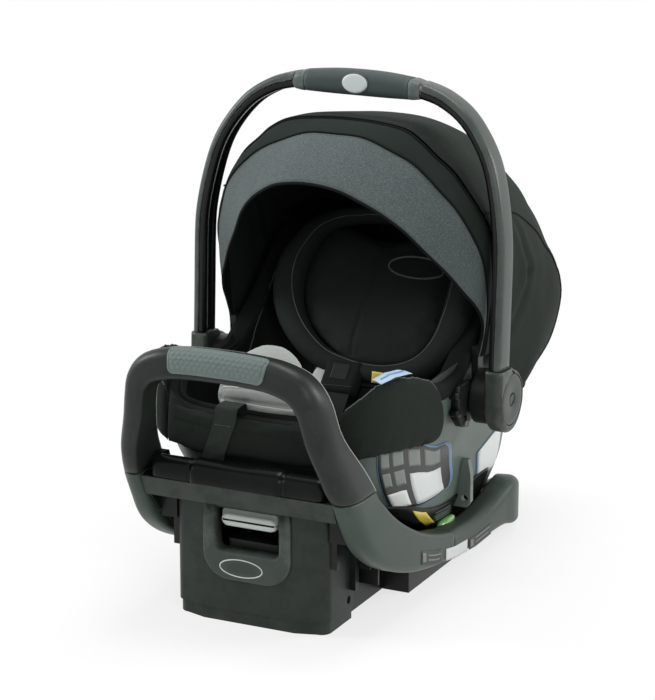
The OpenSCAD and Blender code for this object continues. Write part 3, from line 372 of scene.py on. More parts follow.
lensGreen = plastic("lensGreen", (122, 184, 98), (196, 226, 170), 0.12, depth=0.2, edgeWearAndHighlight=0.2,
                    Coat_Weight=0.6, Coat_Roughness=0.05)
coverBlack = cloth("coverBlack", (17, 20, 18), (42, 47, 44), creases=0.5)
coverSoft = cloth("coverSoft", (28, 33, 30), (54, 60, 56), threads=4200.0, heather=0.2, creases=0.4)
coverPanel = cloth("coverPanel", (34, 39, 37), (60, 66, 63), threads=4200.0, heather=0.2, creases=0.3)
liningBlack = cloth("liningBlack", (12, 14, 13), (32, 35, 33), creases=0.7)
canopyBlack = cloth("canopyBlack", (32, 38, 35), (58, 65, 61), threads=4600.0, heather=0.2, creases=0.25)
canopyHeather = cloth("canopyHeather", (62, 71, 71), (126, 135, 134), threads=2500.0, heather=0.45, twill=0.5,
                      creases=0.1, bump=0.8, Specular_IOR_Level=0.15)
insertPale = cloth("insertPale", (150, 155, 152), (196, 200, 197), threads=4000.0, heather=0.25, creases=0.3)
insertWhite = cloth("insertWhite", (206, 210, 206), (234, 236, 234), threads=4000.0, heather=0.2, creases=0.2)
pipingGrey = cloth("pipingGrey", (82, 88, 85), (116, 122, 118), threads=6000.0, creases=0.0)
pipingDark = cloth("pipingDark", (15, 17, 16), (38, 42, 40), threads=6000.0, creases=0.0)
webbing = cloth("webbing", (38, 44, 41), (80, 87, 83), threads=2900.0, heather=0.2, twill=1.0, creases=0.15,
                bump=0.9)
threadGrey = cloth("threadGrey", (96, 102, 98), (136, 142, 138), threads=9000.0, creases=0.0)
sheetWhite = plastic("sheetWhite", (208, 213, 211), (232, 234, 232), 0.5, depth=0.3, edgeWearAndHighlight=0.1)
sheetDark = plastic("sheetDark", (19, 22, 21), (50, 55, 52), 0.45, depth=0.3, edgeWearAndHighlight=0.1)
sheetBlue = plastic("sheetBlue", (104, 136, 172), (150, 176, 202), 0.45, depth=0.3, edgeWearAndHighlight=0.1)
sheetGrey = plastic("sheetGrey", (104, 112, 106), (150, 157, 151), 0.45, depth=0.3, edgeWearAndHighlight=0.1)
sheetPaleBlue = plastic("sheetPaleBlue", (168, 194, 218), (200, 218, 230), 0.5, depth=0.3, edgeWearAndHighlight=0.1)
collarGrey = plastic("collarGrey", (80, 90, 87), (128, 136, 132), 0.4, **dark)
sheetYellow = plastic("sheetYellow", (214, 190, 52), (230, 218, 122), 0.45, depth=0.3, edgeWearAndHighlight=0.1)
print("finishes made")

# making meshes


def curveThrough(points, steps):  # smooth line through every point
    p = np.asarray(points, float)
    ends = np.vstack([p[:1], p, p[-1:]])
    out = []
    for i in range(len(p) - 1):
        a, b, c, d = ends[i:i + 4]
        for t in np.linspace(0, 1, steps, endpoint=False):
            out.append(0.5 * (2 * b + (c - a) * t + (2 * a - 5 * b + 4 * c - d) * t * t
                              + (3 * b - a - 3 * c + d) * t ** 3))
    out.append(p[-1])
    return np.array(out)


def resampled(points, count):  # the same line with its points evenly spaced
    p = np.asarray(points, float)
    run = np.concatenate([[0], np.cumsum(np.linalg.norm(np.diff(p, axis=0), axis=1))])
    at = np.linspace(0, run[-1], count)
    return np.column_stack([np.interp(at, run, p[:, k]) for k in range(p.shape[1])])


def mirroredLine(points):
    p = np.asarray(points, float)
    other = p[:0:-1].copy()
    other[:, 0] *= -1
    return np.vstack([other, p])


def makeObject(name, points, faces, material, uvs=None):
    mesh = bpy.data.meshes.new(name)
    mesh.from_pydata([tuple(p) for p in toFrame(points)], [], faces)
    if uvs is not None:
        layer = mesh.uv_layers.new(name="cloth")
        flat = np.array([uv for face in uvs for uv in face], np.float32).ravel()
        layer.data.foreach_set("uv", flat)
    mesh.polygons.foreach_set("use_smooth", [True] * len(mesh.polygons))
    mesh.materials.append(material)
    piece = bpy.data.objects.new(name, mesh)
    scene.collection.objects.link(piece)
    return piece


def faceOutwards(piece):
    bm = bmesh.new()
    bm.from_mesh(piece.data)
    bmesh.ops.recalc_face_normals(bm, faces=bm.faces)
    if bm.calc_volume(signed=True) < 0:
        bmesh.ops.reverse_faces(bm, faces=bm.faces)
    bm.to_mesh(piece.data)
    bm.free()
    return piece


def loft(name, rings, material, looped=False):
    rings = np.asarray(rings, float)
    count, around = rings.shape[:2]
    points = rings.reshape(-1, 3)
    lengths = np.concatenate([[0], np.cumsum(np.linalg.norm(np.diff(rings.mean(1), axis=0), axis=1))]) / 1000
    girth = np.linalg.norm(np.roll(rings, -1, 1) - rings, axis=2).mean(0)
    turn = np.concatenate([[0], np.cumsum(girth)]) / 1000
    faces, uvs = [], []
    for i in range(count if looped else count - 1):
        k = (i + 1) % count
        for j in range(around):
            n = (j + 1) % around
            faces.append((i * around + j, i * around + n, k * around + n, k * around + j))
            uvs.append([(turn[j], lengths[i]), (turn[j + 1], lengths[i]), (turn[j + 1], lengths[k]),
                        (turn[j], lengths[k])])
    if not looped:
        for i in (0, count - 1):
            faces.append(tuple(i * around + j for j in range(around)))
            uvs.append([(0, 0)] * around)
    return faceOutwards(makeObject(name, points, faces, material, uvs))


def gridSheet(name, grid, material, thickness):
    grid = np.asarray(grid, float)
    rows, columns = grid.shape[:2]
    along = np.concatenate([[0], np.cumsum(np.linalg.norm(np.diff(grid, axis=0), axis=2).mean(1))]) / 1000
    across = np.concatenate([[0], np.cumsum(np.linalg.norm(np.diff(grid, axis=1), axis=2).mean(0))]) / 1000
    faces, uvs = [], []
    for i in range(rows - 1):
        for j in range(columns - 1):
            a = i * columns + j
            faces.append((a, a + 1, a + columns + 1, a + columns))
            uvs.append([(across[j], along[i]), (across[j + 1], along[i]), (across[j + 1], along[i + 1]),
                        (across[j], along[i + 1])])
    piece = makeObject(name, grid.reshape(-1, 3), faces, material, uvs)
    shell = piece.modifiers.new("thickness", "SOLIDIFY")
    shell.thickness, shell.offset = thickness / 1000, 0
    return piece


def cornerRing(width, height, radii, steps=6):  # rounded rectangle; a radius is a number or (across, along)
    out = []
    for q, r in enumerate(radii):
        rx, ry = r if isinstance(r, tuple) else (r, r)
        sx, sy = (1, -1, -1, 1)[q], (1, 1, -1, -1)[q]
        for i in range(steps + 1):
            a = math.radians(90 * q + 90 * i / steps)
            out.append((sx * (width / 2 - rx) + rx * math.cos(a), sy * (height / 2 - ry) + ry * math.sin(a)))
    return np.array(out)


def unit(v):
    return v / np.linalg.norm(v)


def turnOf(count, closed=False):  # angles of a whole turn; closed ends where it starts
    return np.linspace(0, 2 * math.pi, count, closed)


sweepEase = 60  # stretch over which a swept ring turns to the plane of its end


def sweep(path, ref, ringAt, first, last):  # ringAt(i) gives the (side, deep) offsets of ring i
    path = np.asarray(path, float)
    rings = []
    along = np.concatenate([[0], np.cumsum(np.linalg.norm(np.diff(path[:, :3], axis=0), axis=1))])
    for i, here in enumerate(path):
        way = unit(path[min(i + 1, len(path) - 1), :3] - path[max(i - 1, 0), :3])
        for end, reach in ((first, along[i]), (last, along[-1] - along[i])):
            if reach < sweepEase:
                way = unit(way * reach / sweepEase + np.array(end, float) * (1 - reach / sweepEase))
        ref = np.asarray(ref, float)
        deep = unit(ref - (ref @ way) * way)
        side = np.cross(deep, way)
        rings.append([here[:3] + q[0] * side + q[1] * deep for q in ringAt(i)])
    return rings


def tubes(name, lines, radius, material, sides=8):  # round cords along lines, as one mesh
    points, faces = [], []
    for line in lines:
        line = np.asarray(line, float)
        base = len(points)
        up = np.array([0.0, 0.0, 1.0])
        for i, here in enumerate(line):
            way = unit(line[min(i + 1, len(line) - 1)] - line[max(i - 1, 0)] + 1e-9)
            if i == 0:
                up = unit(np.cross(way, [0.31, 0.17, 0.94]))
            up = unit(up - (up @ way) * way)
            side = np.cross(way, up)
            for k in range(sides):
                a = 2 * math.pi * k / sides
                points.append(here + radius * (math.cos(a) * up + math.sin(a) * side))
        n = len(line)
        for i in range(n - 1):
            for k in range(sides):
                m = (k + 1) % sides
                faces.append((base + i * sides + k, base + i * sides + m, base + (i + 1) * sides + m,
                              base + (i + 1) * sides + k))
        for i in (0, n - 1):
            faces.append(tuple(base + i * sides + k for k in range(sides)))
    return faceOutwards(makeObject(name, points, faces, material))


def stitches(name, lines, length, gap, radius, material):
    pieces = []
    for line in lines:
        line = np.asarray(line, float)
        run = np.linalg.norm(np.diff(line, axis=0), axis=1).sum()
        count = max(int(run / (length + gap)), 1)
        fine = resampled(line, count * 8 + 1)
        filled = max(int(round(8 * length / (length + gap))), 2)
        pieces += [fine[8 * i:8 * i + filled + 1] for i in range(count)]
    return tubes(name, pieces, radius, material, sides=5)


def surfaceOf(piece):  # for laying seams on a finished piece
    bpy.context.view_layer.update()
    return BVHTree.FromObject(piece, bpy.context.evaluated_depsgraph_get())


def layOn(surface, line, lift):  # the line's nearest points on the surface, lifted off it
    out = []
    for p in toFrame(line):
        place, normal, _, _ = surface.find_nearest(Vector(p))
        out.append(np.array(place + normal * lift / 1000) * 1000 - np.array([0, pivotY, 0]))
    return np.array(out)


def pressSeam(piece, lines, depth, width):  # sinks a rounded channel along lines into a dense mesh
    mesh = piece.data
    co = np.empty(len(mesh.vertices) * 3)
    mesh.vertices.foreach_get("co", co)
    co = co.reshape(-1, 3)
    normals = np.array([v.normal for v in mesh.vertices])
    move = np.zeros(len(co))
    for line in lines:
        seam = toFrame(resampled(line, 160))
        gap = np.min(np.linalg.norm(co[:, None] - seam[None], axis=2), axis=1) * 1000
        move = np.maximum(move, depth * np.exp(-(gap / width) ** 2))
    co -= normals * move[:, None] / 1000
    mesh.vertices.foreach_set("co", co.ravel())
    mesh.update()


def bevelled(piece, width, angle=30, weld=False):
    if weld:
        join = piece.modifiers.new("join", "WELD")
        join.merge_threshold = 0.00001
    edge = piece.modifiers.new("edge", "BEVEL")
    edge.width, edge.segments, edge.limit_method = width / 1000, 2, "ANGLE"
    edge.angle_limit = math.radians(angle)
    edge.harden_normals = True
    return piece


def dressNode(name, material, edge):  # a CAD node keeps its shape; only its finish and edges change
    node = nodes[name]
    node.data.materials.clear()
    node.data.materials.append(material)
    if "custom_normal" in node.data.attributes:
        node.data.attributes.remove(node.data.attributes["custom_normal"])
    node.data.polygons.foreach_set("use_smooth", [True] * len(node.data.polygons))
    node.data.update()
    if edge:
        bevelled(node, edge, 28, weld=True)


def settle(piece, body, *replaced, slot=None):
    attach(piece, body)
    if replaced:
        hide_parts(*replaced)
    return piece


def subdivided(piece):
    smooth = piece.modifiers.new("smooth", "SUBSURF")
    smooth.levels = smooth.render_levels = 1
    return piece


def applyAll(piece):  # bakes the modifiers into the mesh
    bpy.context.view_layer.update()
    evaluated = piece.evaluated_get(bpy.context.evaluated_depsgraph_get())
    mesh = bpy.data.meshes.new_from_object(evaluated)
    piece.modifiers.clear()
    piece.data = mesh
    return piece


stuffUse = {"pressure": 4.0, "quality": 4, "frames": 20, "relaxRounds": 5}


def puffUp(piece, voxel, cap):  # swells a closed form as stuffed cloth does, by no more than the cap
    voxels = piece.modifiers.new("voxels", "REMESH")
    voxels.mode, voxels.voxel_size, voxels.use_smooth_shade = "VOXEL", voxel / 1000, True
    relax = piece.modifiers.new("relax", "SMOOTH")  # takes out the steps that the voxels leave
    relax.factor, relax.iterations = 0.5, stuffUse["relaxRounds"]
    applyAll(piece)
    mesh = piece.data
    before = np.empty(len(mesh.vertices) * 3)
    mesh.vertices.foreach_get("co", before)
    before = before.reshape(-1, 3)
    sim = piece.modifiers.new("stuffing", "CLOTH")
    sim.settings.use_pressure = True
    sim.settings.uniform_pressure_force = stuffUse["pressure"]
    sim.settings.effector_weights.gravity = 0
    sim.settings.quality = stuffUse["quality"]
    sim.point_cache.frame_start, sim.point_cache.frame_end = 1, stuffUse["frames"]
    for f in range(1, stuffUse["frames"] + 1):
        scene.frame_set(f)
    evaluated = piece.evaluated_get(bpy.context.evaluated_depsgraph_get())
    after = np.empty(len(before) * 3)
    evaluated.data.vertices.foreach_get("co", after)
    move = after.reshape(-1, 3) - before
    length = np.linalg.norm(move, axis=1, keepdims=True)
    move *= np.minimum(1, cap / 1000 / np.maximum(length, 1e-9))
    piece.modifiers.clear()
    mesh.vertices.foreach_set("co", (before + move).ravel())
    mesh.update()
    scene.frame_set(1)
    return applyAll(subdivided(piece))


print("mesh tools ready")

# base: bar, rails, rim, deck, foot


def roundedEnds(rings, reach=0.8, shrink=1.2):  # turns each open end in, so that a joint line shows there
    rings = [np.asarray(r) for r in rings]
    out = list(rings)
    for end, inner in ((0, 1), (-1, -2)):
        middle = rings[end].mean(0)
        way = unit(rings[end].mean(0) - rings[inner].mean(0))
        spoke = rings[end] - middle
        size = np.linalg.norm(spoke, axis=1, keepdims=True)
        rim = middle + spoke * (1 - shrink / size)
        rings[end] = rings[end] - way * reach
        out[end] = rings[end]
        if end == 0:
            out.insert(0, rim)
        else:
            out.append(rim)
    return out


barUse = {"corners": (13, 9, 6, 3.5),  # outer front, inner front, inner back, outer back
          "cornerSteps": 6, "pathSteps": 7, "faces": (0, -1, 0.2), "legCorner": (17, 32), "legFrom": 341,
          "legTo": 302, "bead": 1.05,
          # x, y, z, width, depth
          "path": [(0, -360, 346, 38, 36), (45, -360, 345, 38, 36), (76, -360, 341, 38, 37),
                   (101, -358, 330, 37, 38), (116, -355, 308, 34, 40), (125, -346, 266, 32, 44),
                   (136, -329, 226, 30, 56), (144, -304, 188.2, 28, 72)]}


def makeBar(use):
    path = curveThrough(mirroredLine(use["path"]), use["pathSteps"])

    def ringAt(i):  # the outer front corner opens into a long round on the legs
        leg = min(max((use["legFrom"] - path[i, 2]) / (use["legFrom"] - use["legTo"]), 0), 1)
        first = tuple((1 - leg) * use["corners"][0] + leg * r for r in use["legCorner"])
        return cornerRing(path[i, 3], path[i, 4], (first,) + use["corners"][1:], use["cornerSteps"])

    rings = roundedEnds(sweep(path, use["faces"], ringAt, (0, 0, 1), (0, 0, -1)))
    settle(loft("barCover", rings, frameSatin), "base", "anti_rebound_bar", slot="rail_plastic")
    # pale beads along the outer back edge and a finer one inside: a painted highlight, standing for the light
    # that these edges catch
    highlightBeads = []
    for across, inset in ((1, 1.1), (-1, 1.9)):
        places = [[(across * (wide / 2 - inset), inset - deep / 2)] for wide, deep in path[:, 3:]]
        line = sweep(path, use["faces"], lambda i: places[i], (0, 0, 1), (0, 0, -1))
        highlightBeads.append(curveThrough(np.array(line)[:, 0], 2))
    settle(tubes("barHighlightBead", highlightBeads, use["bead"], highlightBead), "base", slot="rail_plastic")


gripPadUse = {"halfTop": 66.5, "halfLow": 62, "round": 8, "proud": 1.5, "relief": 0.75, "pitch": (7.2, 5.2),
              "lozenge": (0.56, 0.62), "tip": 0.18, "widestAt": 0.75, "border": 4.5, "groove": 0.7,
              "edge": 1.6, "columns": 190, "rows": 54,
              # from the front's low edge over the top: back and up from the bar's middle
              "profile": [(-18.6, -12), (-19.4, -8), (-19.4, 0), (-18.8, 6.5), (-16.2, 12.2), (-11.8, 16.4),
                          (-6, 18.9)]}


def lozengeHeight(use, x, down):  # raised lozenges in staggered rows: the highest of the three rows nearest
    best = 0
    row = math.floor(down)
    wide, tall = use["lozenge"]
    for near in (row - 1, row, row + 1):
        cell = x / use["pitch"][0] - 0.5 * (near % 2)
        dx, dy = cell - round(cell), down - near - 0.5
        best = max(best, 1 - (dx / wide) ** 2 - (dy / tall) ** 2 + use["tip"] * dy)
    return best


def makeGripPad(use):
    profile = resampled(use["profile"], use["rows"])
    back, up = unit(np.array([0, 1, -0.2])), unit(np.array([0, 0.2, 1]))
    line = curveThrough(mirroredLine(barUse["path"]), barUse["pathSteps"])
    bar = line[np.argsort(line[:, 0])]
    front = barUse["path"][0][1]
    run = np.linspace(0, 1, use["rows"])
    step = np.gradient(profile, axis=0)
    outward = np.column_stack([-step[:, 1], step[:, 0]])
    outward /= np.linalg.norm(outward, axis=1, keepdims=True)
    height = np.linalg.norm(np.diff(profile, axis=0), axis=1).sum()
    top, base = [], []
    for i in range(use["columns"]):
        share = 2 * i / (use["columns"] - 1) - 1
        rowTop, rowBase = [], []
        for q, n, t in zip(profile, outward, run):
            half = use["halfLow"] + (use["halfTop"] - use["halfLow"]) * min(t / use["widestAt"], 1)
            end = 1 - min(t * height, (1 - t) * height, use["round"]) / use["round"]
            half -= use["round"] * (1 - math.sqrt(1 - end * end))
            x = share * half
            fromEdge = min(half - abs(x), t * height, (1 - t) * height)
            raised = lozengeHeight(use, x, t * height / use["pitch"][1])
            fade = min(max(fromEdge - use["border"], 0), 1)
            groove = math.exp(-((fromEdge - use["border"] + 0.6) / use["groove"]) ** 2)
            edge = math.sqrt(max(1 - (1 - min(fromEdge / use["edge"], 1)) ** 2, 0))
            lift = use["proud"] * edge + use["relief"] * raised * fade - use["groove"] * groove
            middle = np.array([x, front, np.interp(x, bar[:, 0], bar[:, 2])])
            point = middle + q[0] * back + q[1] * up
            way = n[0] * back + n[1] * up
            rowTop.append(point + way * lift)
            rowBase.append(point - way)
        top.append(rowTop)
        base.append(rowBase)
    top, base = np.array(top), np.array(base)
    rows, columns = top.shape[:2]
    points = np.vstack([top.reshape(-1, 3), base.reshape(-1, 3)])
    faces = []
    for i in range(rows - 1):
        for j in range(columns - 1):
            a = i * columns + j
            faces.append((a, a + 1, a + columns + 1, a + columns))
    size = rows * columns
    rim = [(i, 0) for i in range(rows)]
    rim += [(rows - 1, j) for j in range(1, columns)]
    rim += [(i, columns - 1) for i in range(rows - 2, -1, -1)]
    rim += [(0, j) for j in range(columns - 2, 0, -1)]
    loop = [i * columns + j for i, j in rim]
    for a, b in zip(loop, loop[1:] + loop[:1]):
        faces.append((a, b, b + size, a + size))
    faces += [tuple(q + size for q in f) for f in faces[:(rows - 1) * (columns - 1)]]
    pad = faceOutwards(makeObject("barGripPad", points, faces, padRubber))
    settle(pad, "base", "bar_grip_pad", slot="grip_rubber")


railUse = {"corners": (5, 5, 12, 8),  # inner top, outer top, outer low, inner low
           "cornersAtBar": (6, 3.5, 17, 9), "runOver": 20, "cornerSteps": 6, "pathSteps": 8,
           "rimCorners": ((15, 13), 7, 6, 8), "rimSteps": 6,
           # both: x, y, z, width, depth
           "rail": [(144, -304, 186.6, 28, 72), (144.5, -288, 162, 29, 66), (145.5, -265, 135, 31, 66),
                    (146.5, -225, 106, 33, 62), (147.5, -170, 79, 35, 54), (147.5, -110, 60, 35, 45),
                    (147.5, -50.2, 48, 35, 38)],
           "rim": [(0, 232, 20, 30, 32), (50, 231, 21, 30, 34), (92, 224, 24, 31, 38), (118, 208, 30, 32, 50),
                   (138, 184, 38, 34, 60), (147.5, 156, 46, 35, 64), (147.5, 124, 46, 35, 50),
                   (147.5, 80, 43, 35, 38), (147.5, 20, 42, 35, 34), (147.5, -49.4, 48, 35, 38)]}


def makeRails(use):
    path = curveThrough(use["rail"], use["pathSteps"])

    def ringAt(i):
        # the corner sizes run over from the bar's to the rail's
        t = min(i / use["runOver"], 1)
        inner, back, low, end = ((1 - t) * a + t * b for a, b in zip(use["cornersAtBar"], use["corners"]))
        reach = (1 - t) * barUse["legCorner"][1] + t * use["corners"][2]
        return cornerRing(path[i, 3], path[i, 4], (inner, back, (low, reach), end), use["cornerSteps"])
    rings = np.array(roundedEnds(sweep(path, (0, 0.8, 0.6), ringAt, (0, 0, -1), (0, 1, 0))))
    for side, name in bothSides:
        flip = rings.copy()
        flip[:, :, 0] *= side
        settle(loft(f"sideRail_{name}", flip, railSatin), "base", f"side_rail_{name}", slot="rail_plastic")
    rim = curveThrough(mirroredLine(use["rim"]), use["rimSteps"])

    def rimRing(i):
        return cornerRing(rim[i, 3], rim[i, 4], use["rimCorners"], use["cornerSteps"])
    rimRings = roundedEnds(sweep(rim, (0, 0, 1), rimRing, (0, 1, 0), (0, -1, 0)))
    settle(loft("rearRim", rimRings, railSatin), "base", "rear_rim", slot="rail_plastic")


noseUse = {"middle": (-318, 198), "radius": 13.5, "half": 117, "floor": 186.2, "lidHalf": 61, "turn": 9,
           "lidProud": 3.2, "endRound": 10, "endDrop": 7, "frontBulge": 1.1, "sag": 1.4,
           "groove": (1.7, 2.4)}  # depth, width


def makeLid(use):
    y0, z0 = use["middle"]
    half, lid, turn = use["half"], use["lidHalf"], use["turn"]
    ends = use["endRound"] * (1 - np.cos(np.linspace(0, math.pi / 2, 6)))
    down = np.linspace(-turn, turn, 13)
    across = np.concatenate([-half + ends, -np.linspace(half - 14, lid + turn + 2, 5), -lid + down,
                             np.linspace(-lid + turn + 6, lid - turn - 6, 9), lid + down,
                             np.linspace(lid + turn + 2, half - 14, 5), (half - ends)[::-1]])
    rings = []
    for x in across:
        # the lid's ends turn down to the deck in a soft step, with a shallow groove round them
        step = min(max((lid + turn - abs(x)) / (2 * turn), 0), 1)
        step = step * step * (3 - 2 * step)
        groove = use["groove"][0] * math.exp(-((abs(x) - lid - 1.5) / use["groove"][1]) ** 2)
        depth = max(abs(x) - (half - use["endRound"]), 0) / use["endRound"]
        fall = use["endDrop"] * (1 - math.sqrt(max(1 - depth ** 2, 0)))
        r = use["radius"] + use["lidProud"] * step - groove - fall
        sag = use["sag"] * (1 - (min(abs(x), lid) / lid) ** 2)
        ring = [(x, y0 + r * math.cos(math.radians(a)) * (use["frontBulge"] if a > 90 else 1),
                 z0 + (r - sag) * math.sin(math.radians(a))) for a in range(180, -1, -9)]
        low, back, front = use["floor"], y0 + r, y0 - r * use["frontBulge"]
        ring += [(x, back, low + 1), (x, back - 1, low), (x, front + 1, low), (x, front, low + 1)]
        rings.append(ring)
    settle(loft("deckNose", rings, deckGloss), "base", "deck_lid", slot="gloss_black")


makeBar(barUse)
makeGripPad(gripPadUse)
makeRails(railUse)
makeLid(noseUse)
for name, material, edge in (("base_tray", blackSatin, 0.8), ("base_deck", deckGloss, 1.0),
                             ("front_apron", footSatin, 1.0), ("bar_tube", steelBright, 0),
                             ("cradle_pads", blackRubber, 1.5), ("latch_bars", steelBright, 0.4),
                             ("level_bezel", blackSatin, 1.2), ("level_lens", lensGreen, 0.6),
                             ("base_feet", blackRubber, 0.8)):
    dressNode(name, material, edge)

bezelUse = {"half": 59, "corner": 34, "low": 58, "top": 156, "depth": 18,
            "windowHalf": 45, "windowLow": 92, "windowCorner": 10}


def makeBezel(use, faceY):  # U-shaped plate round the window, whose wall turns back into the foot
    def outline(half, low, corner, y, inset):
        top = use["top"] - inset
        half, low, corner = half - inset, low + inset, max(corner - inset, 1)
        turn = [(-half, y, top)]
        turn += [(-half + corner + corner * math.cos(a), y, low + corner + corner * math.sin(a))
                 for a in np.linspace(math.pi, 1.5 * math.pi, 10)]
        turn += [(half - corner + corner * math.cos(a), y, low + corner + corner * math.sin(a))
                 for a in np.linspace(1.5 * math.pi, 2 * math.pi, 10)]
        return np.array(turn + [(half, y, top)])
    plate = (use["half"], use["low"], use["corner"])
    window = (use["windowHalf"], use["windowLow"], use["windowCorner"])
    rows = [outline(*shape, faceY + deep, inset) for shape, deep, inset in (
        (plate, 4, 0), (plate, 1.2, 0), (plate, 0.3, 0.9), (plate, 0, 2.4),
        (window, 0, -2.6), (window, 0.5, -1), (window, 1.8, 0.6), (window, use["depth"], 2))]
    plate = gridSheet("footBezel", rows, bezelSatin, 1.2)
    settle(plate, "recline_foot", "foot_bezel", slot="grey_bezel")


leverUse = {"half": 38, "low": 124, "high": 141.6, "rise": 148, "corner": 10, "front": -298.5, "back": -278,
            "boss": (29, 11, -7, 74.5)}  # half width, half height, middle x and z


def makeFoot(use):
    dressNode("foot_block", footSatin, 1.6)
    dressNode("foot_skid", footSatin, 1.4)
    dressNode("foot_guides", blackSatin, 0.8)
    low, high = nodeBox("foot_bezel")
    makeBezel(bezelUse, low[1])
    dressNode("lever_block", blackSatin, 1.2)
    rings = []
    # its top rises behind the foot's wall, so that the lever has room to lift
    for y, inset, high in ((use["back"], 4, use["rise"]), (use["back"] - 3, 0, use["rise"]),
                           (use["front"] + 6, 0, use["rise"]), (use["front"] + 5.4, 0, use["high"]),
                           (use["front"] + 2, 0.8, use["high"]), (use["front"] + 0.5, 2.4, use["high"]),
                           (use["front"], 4.6, use["high"])):
        outline = cornerRing(2 * (use["half"] - inset), high - use["low"] - 2 * inset,
                             [min(max(use["corner"] - inset, 3), 8.5)] * 4, 6)
        rings.append([(x, y, (use["low"] + high) / 2 + z) for x, z in outline])
    settle(loft("releaseLever", rings, leverPale), "recline_latch", "recline_lever", slot="pale_plastic")
    # blank oval boss under the window, with a raised rim
    across, rise, x0, z0 = use["boss"]
    oval = [(x0 + across * math.cos(a), -304.2, z0 + rise * math.sin(a)) for a in turnOf(49, True)]
    settle(tubes("footBossRim", [oval], 0.9, badgePale), "recline_foot", slot="grey_bezel")
    disc = [[(x0 + s * (across - 1) * math.cos(a), y, z0 + s * (rise - 1) * math.sin(a)) for a in turnOf(48)]
            for s, y in ((1, -303.6), (1, -304.6), (0.96, -304.9), (0.5, -305.1), (0.05, -305.1))]
    settle(loft("footBoss", disc, bezelSatin), "recline_foot", slot="grey_bezel")


makeFoot(leverUse)
print("base and foot dressed")

# carrier shell and covers

shellUse = {"halfWidth": 165, "floor": 58, "wall": 4, "power": 4.5, "around": 168, "levelSteps": 6,
            # y and z of the rim's edge
            "rimEdge": [(-286, 256), (-240, 260), (-200, 273), (-160, 283), (-125, 279), (-95, 268),
                        (-50, 268), (0, 290), (60, 342), (120, 392), (170, 412), (230, 404), (285, 378)],
            # both: share of height, foot end y, head end y, share of half width
            "shell": [(0, -70, 204, 0.74), (0.06, -98, 216, 0.79), (0.14, -140, 230, 0.84),
                      (0.25, -182, 240, 0.87), (0.42, -226, 250, 0.9), (0.64, -263, 262, 0.945),
                      (0.84, -280, 272, 0.98), (1, -286, 282, 1)],
            "seat": [(0, -150, -115, 0.5), (0.12, -168, -97, 0.62), (0.3, -195, -68, 0.74),
                     (0.55, -230, -20, 0.84), (0.8, -256, 66, 0.9), (0.9, -264, 124, 0.92),
                     (1, -271, 186, 0.94)],
            "seatSteps": 8, "seatFloor": 106, "padDepth": 10, "padGap": 2.6, "crown": 4.5}
rimEdge = np.array(shellUse["rimEdge"], float)
shellCurve = curveThrough(shellUse["shell"], shellUse["levelSteps"])


def signedPower(v, e):
    return np.sign(v) * np.abs(v) ** e


def bucketPoint(level, angle, low, inset, lift=0.0):  # a point on the shell's family of rings
    share, front, back, width = level
    front, back = front + inset, back - inset
    halfWidth = width * shellUse["halfWidth"] - inset
    e = 2 / shellUse["power"]
    x = halfWidth * signedPower(np.cos(angle), e)
    y = (front + back) / 2 + (back - front) / 2 * signedPower(np.sin(angle), e)
    z = low + (np.interp(y, rimEdge[:, 0], rimEdge[:, 1]) + lift - low) * share
    return np.stack([x, y, z], -1)


def evenRings(rings, count):  # the same rings with their points evenly spaced around
    return [resampled(np.vstack([ring, ring[:1]]), count + 1)[:-1] for ring in rings]


def bucketRings(levels, low, inset, lift=0.0):
    angles = turnOf(shellUse["around"])
    rings = [bucketPoint(level, angles, low, inset, lift) for level in levels]
    return evenRings(rings, shellUse["around"])


def makeShell(use):
    outer = bucketRings(shellCurve, use["floor"], 0)
    inner = bucketRings(shellCurve, use["floor"] + use["wall"], use["wall"])
    shell = loft("carrierShell", outer + inner[::-1], shellSatin)
    settle(shell, "carrier", "carrier_shell", slot="shell_plastic")
    dressNode("foam_liner", foamDark, 0)


def makeSeatPad(use):
    levels = curveThrough(use["seat"], use["seatSteps"])
    low = use["seatFloor"]
    outer = bucketRings(levels, low + use["padGap"], use["padGap"], -1)
    inner = bucketRings(levels, low + use["padDepth"], use["padDepth"], 4)
    # the rim rolls over between the two
    crown = []
    for t in np.linspace(0, math.pi, 7)[1:-1]:
        a, b = outer[-1], inner[-1]
        crown.append((a + b) / 2 + (a - b) / 2 * math.cos(t) + np.array([0, 0, use["crown"]]) * math.sin(t))
    pad = loft("seatPad", outer + crown + inner[::-1], coverBlack)
    settle(pad, "carrier", "seat_pad", slot="black_fabric")
    return pad


# the cover's edge: angles from and to, flat size, then each row's inset, lift and share of the shell's height
rimCoverUse = {"coverEdge": ((-32, 212), (0.042, 1.16),
                             ((-1.6, 0, 0.93), (-1.9, 0, 0.96), (-1.8, 1.5, 1), (-0.8, 4.5, 1), (2, 6.5, 1),
                              (7, 7, 1), (13, 6, 1), (20, 4, 1), (25, 1.5, 1))),
               "coverToe": ((-150, -30), (0.024, 0.56),
                            ((0.2, 2, 1), (5, 3.5, 1), (11, 3.5, 1), (17, 2, 1), (22, -1, 1)))}


def makeRimCover(use):  # folds over the shell behind the wings and lies flat under them
    for name, (span, flat, rows) in use.items():
        angles = np.radians(np.linspace(*span, 150))
        grid = []
        for inset, lift, share in rows:
            level = [np.interp(share, shellCurve[:, 0], shellCurve[:, k]) for k in range(4)]
            grid.append(resampled(bucketPoint(level, angles, shellUse["floor"], inset, lift), 150))
        sheet = gridSheet(name, grid, coverBlack, 1.2)
        settle(sheet, "carrier", slot="black_fabric")


makeShell(shellUse)
seatPad = makeSeatPad(shellUse)
makeRimCover(rimCoverUse)
print("shell and seat pad made")

